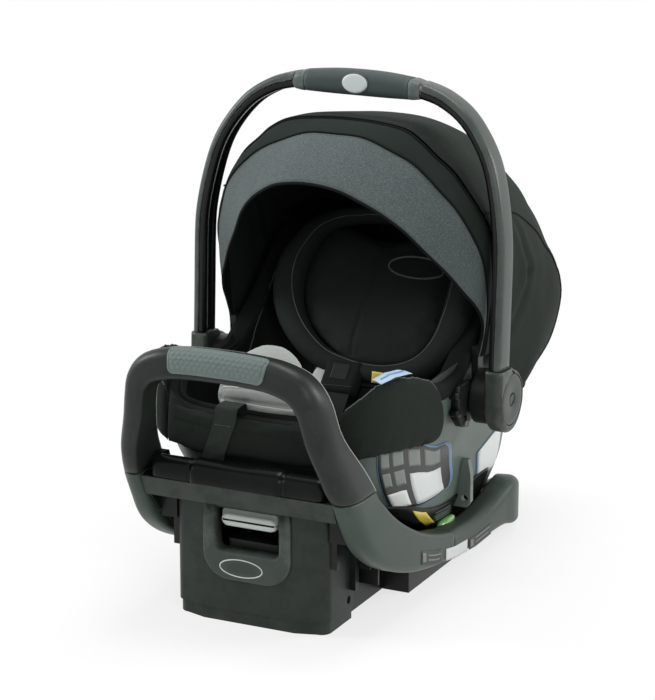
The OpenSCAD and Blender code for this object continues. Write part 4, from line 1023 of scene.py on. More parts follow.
wrapUse = {"depth": 9, "around": 26, "planSteps": 3, "wingFrom": 0.35, "rollTo": 0.362,
           # share of the shell's half width, y
           "plan": [(0, -288), (0.315, -288), (0.594, -284), (0.776, -270), (0.897, -240), (0.958, -196),
                    (0.988, -150), (1, -104)],
           # all: share of the way round from the foot end's middle, z
           "low": [(0, 206), (0.2, 206), (0.33, 214), (0.45, 221), (0.6, 219), (0.8, 211), (0.9, 206),
                   (1, 212)],
           "high": [(0, 268), (0.25, 269), (0.33, 282), (0.43, 301), (0.52, 316), (0.6, 321), (0.68, 319),
                    (0.8, 309), (0.89, 296), (0.95, 277), (1, 258)],
           "seam": [(0.66, 246), (0.72, 254), (0.78, 262), (0.84, 264), (0.92, 262), (0.99, 259)],
           "pulls": [[(t, 244), (t - 0.03, 224)] for t in (0.5, 0.6, 0.74)],
           # slack cloth beside the strap
           "slack": [[(-12, -297, 262), (4, -297, 240), (14, -297, 222)], [(22, -297, 262), (40, -297, 236)],
                     [(-62, -297, 258), (-78, -297, 232)], [(64, -297, 254), (84, -296, 226)]]}
wrapLow, wrapHigh = np.array(wrapUse["low"]).T, np.array(wrapUse["high"]).T
wrapPlan = curveThrough([(s * shellUse["halfWidth"], y) for s, y in wrapUse["plan"]], wrapUse["planSteps"])
wrapEnds = np.vstack([wrapPlan[:1], wrapPlan, wrapPlan[-1:]])
wrapWays = [unit(later - earlier) for earlier, later in zip(wrapEnds, wrapEnds[2:])]
wrapSide = np.array([(way[1], -way[0]) for way in wrapWays])


def wrapPoint(t, out, z):  # t runs from the middle of the foot end to the wing's end
    i = t * (len(wrapPlan) - 1)
    x, y = (np.interp(i, range(len(wrapPlan)), wrapPlan[:, k]) for k in (0, 1))
    sx, sy = (np.interp(i, range(len(wrapPlan)), wrapSide[:, k]) for k in (0, 1))
    return (x + out * sx, y + out * sy, z)


def wrapRing(t, squeeze, side):
    low, high = np.interp(t, *wrapLow), np.interp(t, *wrapHigh)
    middle, half = (low + high) / 2, (high - low) / 2 * squeeze
    ring = []
    for k in range(wrapUse["around"]):
        a = 2 * math.pi * k / wrapUse["around"]
        swell = (wrapUse["depth"] - 1.2) * (0.5 + 0.5 * signedPower(np.cos(a), 0.75))
        out = 0.6 + swell * (0.35 + 0.65 * squeeze)
        x, y, z = wrapPoint(t, out, middle + half * signedPower(np.sin(a), 0.62))
        ring.append((side * x, y, z))
    return ring


def seamUnder(line, side):  # a line of (share, z) laid on the wrap's outer face
    return np.array([wrapPoint(t, wrapUse["depth"], z) for t, z in line]) * [side, 1, 1]


def makeWings(use):
    for side, name in bothSides:
        shares = np.linspace(use["wingFrom"], 1, 30)
        rings = [wrapRing(t, 1 - 0.45 * max(0, (t - 0.93) / 0.07) ** 2, side) for t in shares]
        wing = applyAll(puffUp(loft(f"wingPad_{name}", rings, coverSoft), 3.5, 3.2))
        seam = seamUnder(resampled(curveThrough(use["seam"], 6), 60), side)
        pressSeam(wing, [seam], 2.0, 1.7)
        # soft hollows where the cover is drawn tight from the seam to the lower edge
        pressSeam(wing, [seamUnder(resampled(pull, 20), side) for pull in use["pulls"]], 0.7, 7.0)
        settle(wing, "carrier", f"wing_pad_{name}", slot="black_fabric")
        edge = []
        for t in np.linspace(use["wingFrom"] + 0.02, 0.985, 70):
            x, y, z = wrapPoint(t, use["depth"] * 0.78, np.interp(t, *wrapHigh) + 0.8)
            edge.append((side * x, y, z))
        cord = layOn(surfaceOf(wing), curveThrough(resampled(edge, 16), 5), 0.25)
        trim = tubes(f"wingPiping_{name}", [curveThrough(cord, 2)], 0.8, pipingGrey)
        settle(trim, "carrier", slot="black_fabric")


def makeLegRoll(use):
    shares = np.linspace(-use["rollTo"], use["rollTo"], 57)
    rings = [wrapRing(abs(t), 1, -1 if t < 0 else 1) for t in shares]
    roll = applyAll(puffUp(loft("legRoll", rings, coverSoft), 4, 3.2))
    surface = surfaceOf(roll)
    seam = [(x, -297, 246 - 0.035 * x + 2 * math.sin(x / 31)) for x in np.linspace(-100, 100, 80)]
    pressSeam(roll, [layOn(surface, seam, 0)], 1.2, 2.2)
    slack = [resampled(layOn(surface, line, 0), 40) for line in use["slack"]]
    pressSeam(roll, slack, 0.8, 6.0)
    settle(roll, "carrier", "leg_roll", slot="black_fabric")


makeWings(wrapUse)
makeLegRoll(wrapUse)
print("wings and leg roll made")

# y, z, half width, half depth up the cushion
insertUse = {"path": [(-230, 238, 54, 7), (-243, 256, 62, 11), (-254, 271, 64, 12), (-252, 287, 62, 14),
                      (-244, 306, 53, 15), (-235, 322, 40, 14), (-229, 333, 24, 9), (-226, 338, 9, 4)]}


def makeInsert(use):
    path = curveThrough(use["path"], 6)
    rings = [[(w * signedPower(math.cos(a), 0.8), y + d * signedPower(math.sin(a), 0.8), z)
              for a in turnOf(48)] for y, z, w, d in path]
    cushion = applyAll(puffUp(loft("infantInsert", rings, insertPale), 4, 3.5))
    surface = surfaceOf(cushion)
    band = layOn(surface, [(x, -268, 275 + 0.02 * x) for x in np.linspace(-60, 60, 50)], 0)
    ends = [layOn(surface, [(s * 52, -264, z) for z in np.linspace(248, 286, 24)], 0) for s in (-1, 1)]
    arch = [(60 * math.cos(a), -266, 287 + 6 * math.sin(a)) for a in np.linspace(0, math.pi, 60)]
    arch = layOn(surface, arch, 0)
    pressSeam(cushion, [band, arch] + ends, 1.6, 2.6)
    settle(cushion, "carrier", "infant_insert", slot="grey_fabric")
    surface = surfaceOf(cushion)
    trim = [curveThrough(layOn(surface, resampled(line, 24), 0.2), 3) for line in [arch] + ends]
    settle(tubes("insertPiping", trim, 0.8, insertWhite), "carrier", slot="grey_fabric")
    strip = [layOn(surface, [(x, -268, 273 - 14 * t) for x in np.linspace(-58, 58, 44)], 0.8)
             for t in np.linspace(0, 1, 9)]
    lower = gridSheet("insertHem", strip, insertWhite, 0.8)
    settle(lower, "carrier", slot="grey_fabric")


makeInsert(insertUse)
print("insert made")

# head and body support, in the seat back's own axes: x across, depth into the back, s along it

backUse = {"tilt": 42, "foot": (3, 252)}


def onBack(points):
    p = np.atleast_2d(np.asarray(points, float))
    c, s = math.cos(math.radians(backUse["tilt"])), math.sin(math.radians(backUse["tilt"]))
    y, z = backUse["foot"]
    return np.column_stack([p[:, 0], y + p[:, 1] * c + p[:, 2] * s, z - p[:, 1] * s + p[:, 2] * c])


supportUse = {"right": [(0, -3), (40, -5), (78, 3), (103, 25), (112, 66), (113, 108), (108, 142), (96, 168),
                        (76, 184), (46, 186), (22, 180)],
              "left": [(0, 178), (-22, 180), (-46, 186), (-74, 187), (-92, 170), (-101, 142), (-102, 110),
                       (-93, 75), (-72, 40), (-42, 18), (-20, 4)],
              # the bolster's round: x, s, half width, depth of its front
              "bolster": [(0, -13, 13, 34), (34, -17, 13, 34), (70, -14, 14, 36), (102, 0, 16, 40),
                          (123, 28, 18, 46), (130, 68, 19, 50), (130, 110, 19, 54), (124, 146, 18, 52),
                          (108, 178, 15, 46), (80, 200, 13, 38), (42, 210, 12, 33), (0, 213, 12, 32),
                          (-42, 210, 12, 33), (-78, 198, 13, 38), (-101, 176, 15, 46), (-112, 148, 17, 50),
                          (-117, 118, 19, 54), (-112, 80, 20, 52), (-96, 46, 19, 46), (-68, 16, 17, 40),
                          (-34, -5, 15, 36)],
              # the panel's middle, and from its front to its back: share of its outline and depth
              "centre": (4, 95),
              "panel": [(0.93, -6), (1.0, -9), (1.02, -16), (0.99, -23), (0.94, -27), (0.8, -30),
                        (0.6, -31.5), (0.3, -32), (0.05, -32)],
              "patch": (58, 133, 39, 15.5), "seatPiping": [(-137, 138), (-134, 80), (-135, 34), (-138, -16)]}


def makeSupport(use):
    outline = curveThrough(use["right"] + use["left"] + use["right"][:1], 6)
    ring = resampled(outline, 121)[:-1]
    centre = np.array(use["centre"])
    rings = []
    for scale, depth in use["panel"]:
        flat = centre + (ring - centre) * scale
        rings.append(onBack(np.column_stack([flat[:, 0], np.full(len(flat), depth), flat[:, 1]])))
    panel = applyAll(puffUp(loft("supportPanel", rings, coverPanel), 5, 4))
    surface = surfaceOf(panel)
    seam = layOn(surface, onBack([(2 - t, -34, 170 - 172 * t) for t in np.linspace(0, 1, 60)]), 0)
    pressSeam(panel, [seam], 2.6, 2.4)
    settle(panel, "head_support", "headrest_pad", slot="black_fabric")
    line = curveThrough(use["bolster"] + use["bolster"][:1], 6)[:-1]
    count = len(line)
    rings, crest = [], []
    for i, (x, s, w, d) in enumerate(line):
        way = unit(line[(i + 1) % count, :2] - line[i - 1, :2])
        side = np.array([-way[1], way[0]])
        ring = []
        for a in turnOf(28):
            k = w * signedPower(math.cos(a), 0.8)
            depth = -(6 + (d - 6) * (0.5 + 0.5 * signedPower(math.sin(a), 0.8)))
            ring.append((x + k * side[0], depth, s + k * side[1]))
        rings.append(onBack(ring))
        crest.append((x + 0.72 * w * side[0], -d - 2, s + 0.72 * w * side[1]))
    bolster = applyAll(puffUp(loft("supportBolster", rings, coverPanel, looped=True), 5, 4))
    settle(bolster, "head_support", slot="black_fabric")
    surface = surfaceOf(bolster)
    edge = curveThrough(layOn(surface, onBack(resampled(crest + crest[:1], 70)), 0.3), 3)
    settle(tubes("supportPiping", [edge], 0.7, pipingGrey), "head_support", slot="black_fabric")
    dressNode("headrest_board", blackSatin, 0.8)
    # piping down the seat cover's sides
    surface = surfaceOf(seatPad)
    sides = []
    for side in (1, -1):
        path = resampled(curveThrough([(side * x, -26, v) for x, v in use["seatPiping"]], 8), 40)
        sides.append(curveThrough(layOn(surface, onBack(path), 0.3), 2))
    settle(tubes("seatPiping", sides, 0.9, pipingGrey), "carrier", slot="black_fabric")
    # blank oval patch on the right half, edged with thread
    x0, s0, rx, rs = use["patch"]
    surface = surfaceOf(panel)

    def oval(k, lift, count):
        points = [(x0 + rx * k * math.cos(a), -36, s0 + rs * k * math.sin(a)) for a in turnOf(count, True)]
        return layOn(surface, onBack(points), lift)
    rows = ((1, 0.1), (0.98, 0.9), (0.9, 1.1), (0.5, 1.1), (0.05, 1.1))
    patch = loft("supportPatch", [oval(k, lift, 57)[:-1] for k, lift in rows], coverPanel)
    settle(patch, "head_support", slot="black_fabric")
    border = tubes("supportPatchEdge", [oval(1, 1.2, 61)], 1.3, threadGrey)
    settle(border, "head_support", slot="black_fabric")


makeSupport(supportUse)
print("head support made")

# harness

# each pad from one corner to the other: x, depth, s
harnessUse = {"strapCover": ((22, 50), (-12, -5), (-60, -4)),
              "buckleCover": ((-25, 27), (-36.2, -15), (-55, -7)),
              "flapStitch": (-21, 23, -36.8, -47)}  # x from and to, depth, s


def softBox(name, corners, replaced, sides):  # a small rounded pad between two corners
    (x0, x1), (d0, d1), (s0, s1) = corners
    rings = []
    for t in np.linspace(0, 1, 15):
        close = math.sqrt(max(1 - (2 * t - 1) ** 8, 0)) * 0.75 + 0.25
        deep = (d1 - d0) * close
        outline = cornerRing((x1 - x0) * (0.9 + 0.1 * close), deep, [abs(deep) * 0.42] * 4, 5)
        rings.append([((x0 + x1) / 2 + p, (d0 + d1) / 2 + q, s0 + (s1 - s0) * t) for p, q in outline])
    points = np.array([onBack(r) for r in rings])
    for side in sides:
        label = name if len(sides) == 1 else f"{name}_{'right' if side > 0 else 'left'}"
        pad = loft(label, points * [side, 1, 1], coverSoft)
        settle(pad, "carrier", slot="black_fabric")
    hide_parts(replaced)


def makeHarness(use):
    softBox("strapCover", use["strapCover"], "strap_covers", (1, -1))
    softBox("buckleCover", use["buckleCover"], "buckle_body", (1,))
    x0, x1, depth, place = use["flapStitch"]
    line = onBack([(x, depth, place + 0.05 * x) for x in np.linspace(x0, x1, 30)])
    settle(stitches("buckleFlapStitch", [line], 2.2, 1.4, 0.35, threadGrey), "carrier", slot="webbing")


makeHarness(harnessUse)
for name, material, edge in (("shoulder_straps", webbing, 0.4), ("chest_clip", blackRubber, 1.6),
                             ("crotch_strap", webbing, 0.5), ("buckle_button", blackSatin, 1.4),
                             ("adjuster_plate", blackSatin, 0.5), ("adjuster_button", bezelSatin, 0.9)):
    dressNode(name, material, edge)

strapUse = {"x": -28, "half": 14.6, "thick": 1.5, "lean": 21, "top": 262, "fall": 61, "stitchHalf": 11,
            # y, z down the loose end
            "path": [(-271.5, 262), (-272.5, 270), (-275, 275.2), (-281, 276), (-290, 275.6), (-298, 274.2),
                     (-300.6, 268), (-300.9, 250), (-301.2, 225), (-301.4, 201)]}


def makeAdjusterStrap(use):
    path = resampled(curveThrough([(0, y, z) for y, z in use["path"]], 6), 90)
    grid = []
    for t in np.linspace(-1, 1, 15):
        row = path.copy()
        down = np.clip((use["top"] - path[:, 2]) / use["fall"], 0, 1)
        row[:, 0] = use["x"] + use["half"] * t - use["lean"] * down
        # the loose end twists a little and ripples
        twist = 1.2 * t * np.sin(5 * down) + 0.7 * np.sin(17 * down + 3 * t) + 0.9
        row[:, 1] -= 0.35 * (1 - t * t) + down * twist
        grid.append(row)
    strap = gridSheet("adjusterStrap", grid, webbing, use["thick"])
    bevelled(strap, 0.5)
    settle(strap, "carrier", "adjuster_strap", slot="webbing")
    surface, half = surfaceOf(strap), use["stitchHalf"]
    rows = []
    for z in (253.5, 206):
        middle = (z - use["top"]) * use["lean"] / use["fall"]
        row = [(use["x"] - half + 2 * half * k / 20 + middle, -304, z) for k in range(21)]
        rows.append(layOn(surface, row, 0.4))
    settle(stitches("strapStitches", rows, 2.2, 1.2, 0.35, threadGrey), "carrier", slot="webbing")


makeAdjusterStrap(strapUse)
print("harness made")

# handle, drawn upright and leaned back about its pivot

handleUse = {"lean": 2.7, "corner": 6.5, "bowSteps": 6, "gripSteps": 8, "gripCorners": (13, 12, 12, 13),
             "collarCorners": (9, 9, 9, 9),
             # all: x, y, z, thickness, depth
             "bow": [(88, 0, 619, 20, 36), (116, -1.5, 611, 19, 36), (146, -4, 593, 18, 37),
                     (170, -7.5, 566, 17, 37), (188, -11.5, 534, 17, 37), (199.5, -15.5, 494, 17, 37),
                     (207, -19, 449, 17, 37), (209, -20, 412, 17, 37), (209, -20, 337, 17, 37),
                     (209, -20, 279.5, 17, 37)],
             "grip": [(0, 0, 621, 32, 37), (36, 0, 620.5, 31, 37), (72, 0, 619, 27, 36)],
             "collar": [(72.6, 0, 619, 25.6, 35.4), (74, 0, 619, 26.2, 36), (78, 0, 618.8, 25.4, 36),
                        (85.5, 0, 618.2, 22, 35.4), (87.6, 0, 618, 20.6, 34.6)],
             # half width, half height, z; then the share of its outline and y from back to front
             "inlay": (17.4, 12, 622), "inlayRim": (0.8, -18.7, 0.7),  # how far outside, y, radius
             "inlayRows": [(1, -18.3), (1, -19.3), (0.97, -19.8), (0.8, -20.05), (0.45, -20.15),
                           (0.05, -20.2)]}


def leaned(points):
    p = np.asarray(points, float).copy()
    a = math.radians(-handleUse["lean"])
    y, z = p[..., 1].copy(), p[..., 2] - pivotZ
    p[..., 1] = y * math.cos(a) - z * math.sin(a)
    p[..., 2] = pivotZ + y * math.sin(a) + z * math.cos(a)
    return p


def arc(cx, cy, r, start, end):
    return [(cx + r * math.cos(math.radians(a)), cy + r * math.sin(math.radians(a)))
            for a in np.linspace(start, end, 7)]


def outerHalf(t, d, r):  # section of the satin outer moulding, (out, deep)
    return ([(0.2, -d + 0.7), (0.9, -d)] + arc(t - r, -d + r, r, -90, 0)
            + [(t + 0.35, -d * 0.3), (t + 0.35, d * 0.3)] + arc(t - r, d - r, r, 0, 90)
            + [(0.9, d), (0.2, d - 0.7)])


def innerHalf(t, d, r):  # section of the glossy inner moulding, with a channel along it
    c = min(8, d - r - 0.5)
    channel = [(-t, c), (-t + 0.6, c - 0.8), (-t + 2.6, c - 1.3), (-t + 3, c - 2)]
    return ([(-0.3, d - 0.6), (-1, d)] + arc(-t + r, d - r, r, 90, 180) + channel
            + [(x, -y) for x, y in channel[::-1]] + arc(-t + r, -d + r, r, 180, 270)
            + [(-1, -d), (-0.3, -d + 0.6)])


def makeHandle(use):
    path = curveThrough(use["bow"], use["bowSteps"])
    outer, inner = [], []
    for i, (x, y, z, thick, deep) in enumerate(path):
        run = path[min(i + 1, len(path) - 1)] - path[max(i - 1, 0)]
        way = unit(np.array([run[0], 0, run[2]])) if i else np.array([1.0, 0, 0])
        out = np.array([-way[2], 0, way[0]])
        at = np.array([x, y, z])
        t, d = thick / 2, deep / 2
        outer.append([at + q[0] * out + [0, q[1], 0] for q in outerHalf(t, d, use["corner"])])
        inner.append([at + q[0] * out + [0, q[1], 0] for q in innerHalf(t, d - 1.2, use["corner"] - 1.5)])
    outer, inner = leaned(outer), leaned(inner)
    for side, name in bothSides:
        shell = loft(f"handleOuter_{name}", outer * [side, 1, 1], handleSatin)
        liner = loft(f"handleInner_{name}", inner * [side, 1, 1], linerGloss)
        settle(shell, "carry_handle", "handle_shell", slot="handle_plastic")
        settle(liner, "carry_handle", "handle_liner", slot="gloss_black")
    grip = curveThrough(mirroredLine(use["grip"]), use["gripSteps"])
    rings = sweep(grip, (0, 1, 0), lambda i: cornerRing(grip[i, 3], grip[i, 4], use["gripCorners"], 7),
                  (1, 0, 0), (1, 0, 0))
    sleeve = loft("gripSleeve", leaned(roundedEnds(rings, 0.3, 1.0)), gripRubber)
    settle(sleeve, "carry_handle", "handle_grip", slot="grip_rubber")
    line = np.array(use["collar"])
    rings = sweep(line, (0, 1, 0), lambda i: cornerRing(line[i, 3], line[i, 4], use["collarCorners"]),
                  (1, 0, 0), (1, 0, 0))
    rings = leaned(rings)
    for side, name in bothSides:
        collar = loft(f"gripCollar_{name}", rings * [side, 1, 1], collarGrey)
        settle(collar, "carry_handle", "grip_collars", slot="grip_rubber")
    across, rise, z0 = use["inlay"]
    ovals = [[(s * across * math.cos(a), y, z0 + s * rise * math.sin(a)) for a in turnOf(48)]
             for s, y in use["inlayRows"]]
    settle(loft("gripInlay", leaned(ovals), badgePale), "carry_handle", "grip_inlay", slot="pale_plastic")
    more, y, radius = use["inlayRim"]
    across, rise = across + more, rise + more
    rim = leaned([(across * math.cos(a), y, z0 + rise * math.sin(a)) for a in turnOf(61, True)])
    settle(tubes("gripInlayRim", [rim], radius, gripRubber), "carry_handle", slot="grip_rubber")


makeHandle(handleUse)

hubUse = {"radius": 38, "drop": 1.13, "legFront": 38.5, "legRear": -1.5, "legTop": 41.5, "around": 84,
          # x and inset of the cover's outline, then x and radius of the pocket for the push button
          "cover": [(197.2, 3), (199.2, 1), (202.2, 0), (216.3, 0), (218.2, 0.7), (219.7, 2.0), (220.55, 3.6),
                    (220.8, 5.0)],
          "pocket": [(220.8, 34.6), (220.6, 33.8), (219.8, 33.5), (203.2, 33.5), (203, 20)],
          # x and radius, then the pill on it: tilt, and x and inset of its outline
          "button": [(209.8, 20), (209.8, 32), (210.5, 32.9), (219.4, 32.9), (220.3, 32.3), (220.7, 31.2),
                     (220.75, 26), (220.75, 10.2), (220.5, 9.4), (219.8, 8.9), (218.2, 8.6), (218, 8),
                     (218, 0.4)],
          "pillSize": (15.6, 9.2), "pillRound": (6.6, 4.5), "pillTilt": 28,
          "pill": [(217.9, 0), (219.3, 0), (219.9, 0.5), (220.1, 1.3)],
          "fillets": {"legRear": 13, "legFront": 6}}


def hubHalf(inset, leg, f):  # one side of a disc that flows with a fillet of radius f up into the leg
    r, w, top = hubUse["radius"] - inset, leg - inset, hubUse["legTop"]
    reach = math.sqrt(max((r + f) ** 2 - (w + f) ** 2, 0))
    start = math.degrees(math.atan2(reach, w + f))
    outline = []
    for a in np.linspace(-90, start, 26):
        drop = hubUse["drop"] if a < 0 else 1
        outline.append((r * math.cos(math.radians(a)), r * drop * math.sin(math.radians(a))))
    for a in np.linspace(180 + start, 180, 8)[1:]:
        p = (w + f + f * math.cos(math.radians(a)), reach + f * math.sin(math.radians(a)))
        if outline[-1][1] < p[1] < top:
            outline.append(p)
    return outline + [(outline[-1][0] * 0.4 + w * 0.6, top)]


def hubOutline(inset):  # about the pivot: (y, z)
    rear, front = (hubHalf(inset, hubUse[leg], f) for leg, f in hubUse["fillets"].items())
    return np.array(rear + [(-y, z) for y, z in front[::-1]][:-1])


def makeHubs(use):
    rings = [np.array([(x, y, pivotZ + z) for y, z in hubOutline(inset)]) for x, inset in use["cover"]]
    rings = evenRings(rings, use["around"])
    turns = np.linspace(-math.pi / 2, 1.5 * math.pi, use["around"], endpoint=False)
    for x, r in use["pocket"]:
        rings.append(np.column_stack([np.full(len(turns), x), r * np.cos(turns), pivotZ + r * np.sin(turns)]))
    disc = np.array([[(x, r * math.cos(a), pivotZ + r * math.sin(a)) for a in turnOf(72)]
                     for x, r in use["button"]])
    tilt = math.radians(use["pillTilt"])
    pill = []
    for x, inset in use["pill"]:
        (wide, tall), (rx, ry) = use["pillSize"], use["pillRound"]
        outline = cornerRing(wide - 2 * inset, tall - 2 * inset, [(rx - inset, ry - inset)] * 4)
        pill.append([(x, p * math.cos(tilt) - q * math.sin(tilt),
                      pivotZ + p * math.sin(tilt) + q * math.cos(tilt)) for p, q in outline])
    for side, name in bothSides:
        flip = np.array([side, 1, 1])
        cover = loft(f"hubCover_{name}", leaned(rings) * flip, hubSatin)
        settle(cover, "carry_handle", "handle_hubs", slot="handle_plastic")
        button = loft(f"pushButton_{name}", disc * flip, hubSatin)
        settle(button, f"hub_button_{name}", f"button_{name}", slot="handle_plastic")
        raised = loft(f"buttonPill_{name}", np.array(pill) * flip, bezelSatin)
        settle(raised, f"hub_button_{name}", slot="handle_plastic")


makeHubs(hubUse)

bracketUse = {"across": (163, 174),
              # y, z; then y, z and radius
              "plate": [(-60, 221), (-46, 207), (-28, 202), (-24, 208), (-24, 258), (-28, 263), (-56, 263),
                        (-60, 259)],
              "lugs": [(-64, 252, 5), (-62, 229, 5), (-42, 214, 7)]}


def makeBracket(use):  # black fitting on the shell's side that guides the canopy's arm
    x0, x1 = use["across"]
    middle = np.array(use["plate"], float).mean(0)
    for side, name in bothSides:
        rings = []
        for x, inset in ((x0, 0), (x1 - 1.6, 0), (x1 - 0.5, 0.6), (x1, 1.8)):
            plate = middle + (np.array(use["plate"]) - middle) * (1 - inset / 26)
            rings.append([(side * x, y, z) for y, z in plate])
        settle(loft(f"armBracket_{name}", rings, blackSatin), "carrier", slot="gloss_black")
        for k, (y, z, r) in enumerate(use["lugs"]):
            lug = [[(side * x, y + q * math.cos(t), z + q * math.sin(t)) for t in turnOf(20)]
                   for x, q in ((x0, r), (x1 + 0.6, r), (x1 + 1.8, r - 1.2))]
            settle(loft(f"armLug{k}_{name}", lug, linerGloss), "carrier", slot="gloss_black")


makeBracket(bracketUse)
print("handle made")

# canopy

canopyUse = {"halfWidth": 188, "radius": 336, "hoopSteps": 7, "rearSteps": (8, 7), "heart": (0, 60, 300),
             # each hoop: x share, radius share, lean forward in degrees
             "bow": [(0, 1.012, 2), (0.21, 1.012, 3), (0.42, 1, 4), (0.55, 0.965, 5), (0.65, 0.915, 5),
                     (0.76, 0.86, 4.5), (0.85, 0.79, 4), (0.93, 0.715, 3), (0.985, 0.64, 1.5), (1, 0.54, 0),
                     (0.985, 0.38, -2), (0.955, 0.2, -2), (0.935, 0.15, -2)],
             "top": [(0, 0.996, 9.4), (0.21, 0.992, 9.6), (0.42, 0.95, 10), (0.55, 0.915, 10),
                     (0.65, 0.875, 10.6), (0.76, 0.815, 11), (0.85, 0.745, 10), (0.93, 0.64, 8),
                     (0.98, 0.55, 6.4), (0.992, 0.45, 4), (0.98, 0.32, 1), (0.95, 0.2, 0), (0.933, 0.15, 1)],
             "edge": [(0, 0.944, 26), (0.21, 0.93, 26.2), (0.36, 0.882, 25.8), (0.49, 0.815, 24.6),
                      (0.6, 0.735, 23), (0.71, 0.625, 20.6), (0.81, 0.53, 17.8), (0.89, 0.44, 14.5),
                      (0.95, 0.37, 10.5), (0.975, 0.31, 7), (0.965, 0.25, 4), (0.945, 0.2, 4),
                      (0.93, 0.15, 8)],
             # lean, radius share, square share, width share, crown, share kept at the sides
             "rear": [(1, 1, 0, 1, 0, 1), (-6, 0.989, 0, 1, 1, 1), (-14, 0.983, 0, 1, 5, 1),
                      (-24, 0.991, 0, 1, 11, 1), (-35, 1.006, 0, 0.99, 13, 1), (-47, 1.013, 0.1, 0.985, 8, 1),
                      (-60, 0.995, 0.35, 0.99, 5, 1), (-74, 0.957, 0.8, 0.988, 0, 0.97),
                      (-88, 0.895, 1, 0.91, 0, 0.84), (-98, 0.82, 1, 0.81, 0, 0.68)]}


def hoopPoints(hoop, out):
    r = canopyUse["radius"] * hoop[:, 1] + out
    lean = np.radians(hoop[:, 2])
    x = hoop[:, 0] * (canopyUse["halfWidth"] + out)
    return np.column_stack([x, -r * np.sin(lean), pivotZ + r * np.cos(lean)])


def hoopGrid(first, second, rows, bulge, out=0.0, start=0.0):  # cloth from one hoop to the other
    grid = []
    for t in np.linspace(start, 1, rows):
        line = (1 - t) * first + t * second
        grid.append(hoopPoints(line, out + bulge * math.sin(math.pi * t)))
    return np.array(grid)


def clothPiece(name, grid, material, thickness, body, *replaced, held="stretched", slot="black_fabric",
               rests=()):
    piece = gridSheet(name, grid, material, thickness)
    return settle(piece, body, *replaced, slot=slot)


def rearGrid(use, out):  # the rear cloth, whose section turns from the bow's hoop to a squarer one behind
    hoop = np.array(mirroredLine(use["bow"]), float)
    columns, rows = use["rearSteps"]
    grid = []
    for lean, share, square, width, crown, kept in use["rear"]:
        line = []
        for x, h, tilt in hoop:
            squared = max(1 - abs(x) ** 8, 0.001) ** (1 / 8)
            reach = h if h < 0.6 else h * (1 - square) + max(h, squared) * square
            r = (use["radius"] * reach * share * (kept if h < 0.6 else 1)
                 + crown * math.cos(math.radians(90 * min(abs(x) / 0.45, 1))) + out)
            a = math.radians(tilt - 0.6 if lean == 1 else lean)
            line.append((x * (use["halfWidth"] + out + 1) * (1 if h < 0.6 else width), -r * math.sin(a),
                         pivotZ + r * math.cos(a)))
        grid.append(curveThrough(line, columns))
    grid = np.array(grid)
    return np.array([curveThrough(grid[:, j], rows) for j in range(grid.shape[1])]).transpose(1, 0, 2)


def wrinkled(grid, folds):  # presses soft folds into a grid, on both sides: each is a line, depth and width
    grid = grid.copy()
    normal = np.cross(np.gradient(grid, axis=1), np.gradient(grid, axis=0))
    normal /= np.maximum(np.linalg.norm(normal, axis=2, keepdims=True), 1e-9)
    flip = np.sign(((grid - canopyUse["heart"]) * normal).sum(2))
    normal *= flip[:, :, None]
    for line, depth, width in folds:
        for side in (1, -1):
            fold = resampled(np.array(line, float) * [side, 1, 1], 80)
            gap = np.full(grid.shape[:2], 1e9)
            for p in fold:
                gap = np.minimum(gap, np.linalg.norm(grid - p, axis=2))
            # a crease with a soft swell beside it
            swell = 0.45 * depth * np.exp(-((gap - 2.6 * width) / (1.6 * width)) ** 2)
            grid += normal * (-depth * np.exp(-(gap / width) ** 2) + swell)[:, :, None]
    return grid


rearFolds = [([(193, 62, 470), (193, 96, 420), (190, 118, 372)], 3.0, 5.0),
             ([(190, 118, 372), (184, 165, 350), (168, 228, 348)], 2.2, 8.0),
             ([(190, 118, 372), (190, 96, 330), (190, 60, 300)], 2.4, 6.0),
             ([(150, 235, 460), (172, 205, 400), (182, 178, 330)], 1.6, 14.0),
             ([(60, 300, 420), (120, 280, 400), (165, 235, 380)], 1.8, 12.0)]


def makeCanopy(use):
    bow, top, edge = (curveThrough(mirroredLine(use[k]), use["hoopSteps"]) for k in ("bow", "top", "edge"))
    band = hoopGrid(edge, top, 26, 1.2)
    clothPiece("canopyBand", band, canopyHeather, 1.0, "canopy", "canopy_band", slot="band_fabric")
    lining = hoopGrid(edge, top, 16, 0.8, -2.0, 0.01)
    clothPiece("canopyLining", lining, liningBlack, 0.7, "canopy")
    hem = [hoopPoints(edge, -0.6)]
    settle(tubes("canopyHem", hem, 1.9, pipingDark, sides=10), "canopy", slot="black_fabric")
    rows = [hoopPoints((1 - t) * edge + t * top, 1.0) for t in (0.05, 0.955)]
    settle(stitches("canopyStitches", rows, 2.6, 1.6, 0.34, threadGrey), "canopy", slot="band_fabric")
    strip = hoopGrid(top, bow, 14, 2.4, 0.3)
    clothPiece("canopyBow", strip, canopyBlack, 1.4, "canopy", "canopy_bow")
    under = hoopGrid(top, bow, 10, 1.2, -2.2)
    clothPiece("canopyBowLining", under, liningBlack, 0.7, "canopy")
    cords = [hoopPoints(top, 1.0), hoopPoints(bow, 1.2)]
    settle(tubes("canopyBowCords", cords, 1.7, pipingDark), "canopy", slot="black_fabric")
    rear = wrinkled(rearGrid(use, 3.0), rearFolds)
    back = applyAll(subdivided(gridSheet("canopyRear", rear, canopyBlack, 1.6)))
    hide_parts("canopy_rear")
    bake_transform(back)
    # bound lower edge, and the seams where the rear's top panel meets its side panels
    last = rear.shape[1] - 1
    column = int((last + 1) * 0.2)
    out = []
    for line in (rear[-1], rear[:, column], rear[:, last - column]):
        way = line - use["heart"]
        out.append(line + way / np.linalg.norm(way, axis=1, keepdims=True) * 1.2)
    trim = tubes("canopyRearSeams", out, 1.3, pipingDark)
    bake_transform(trim)


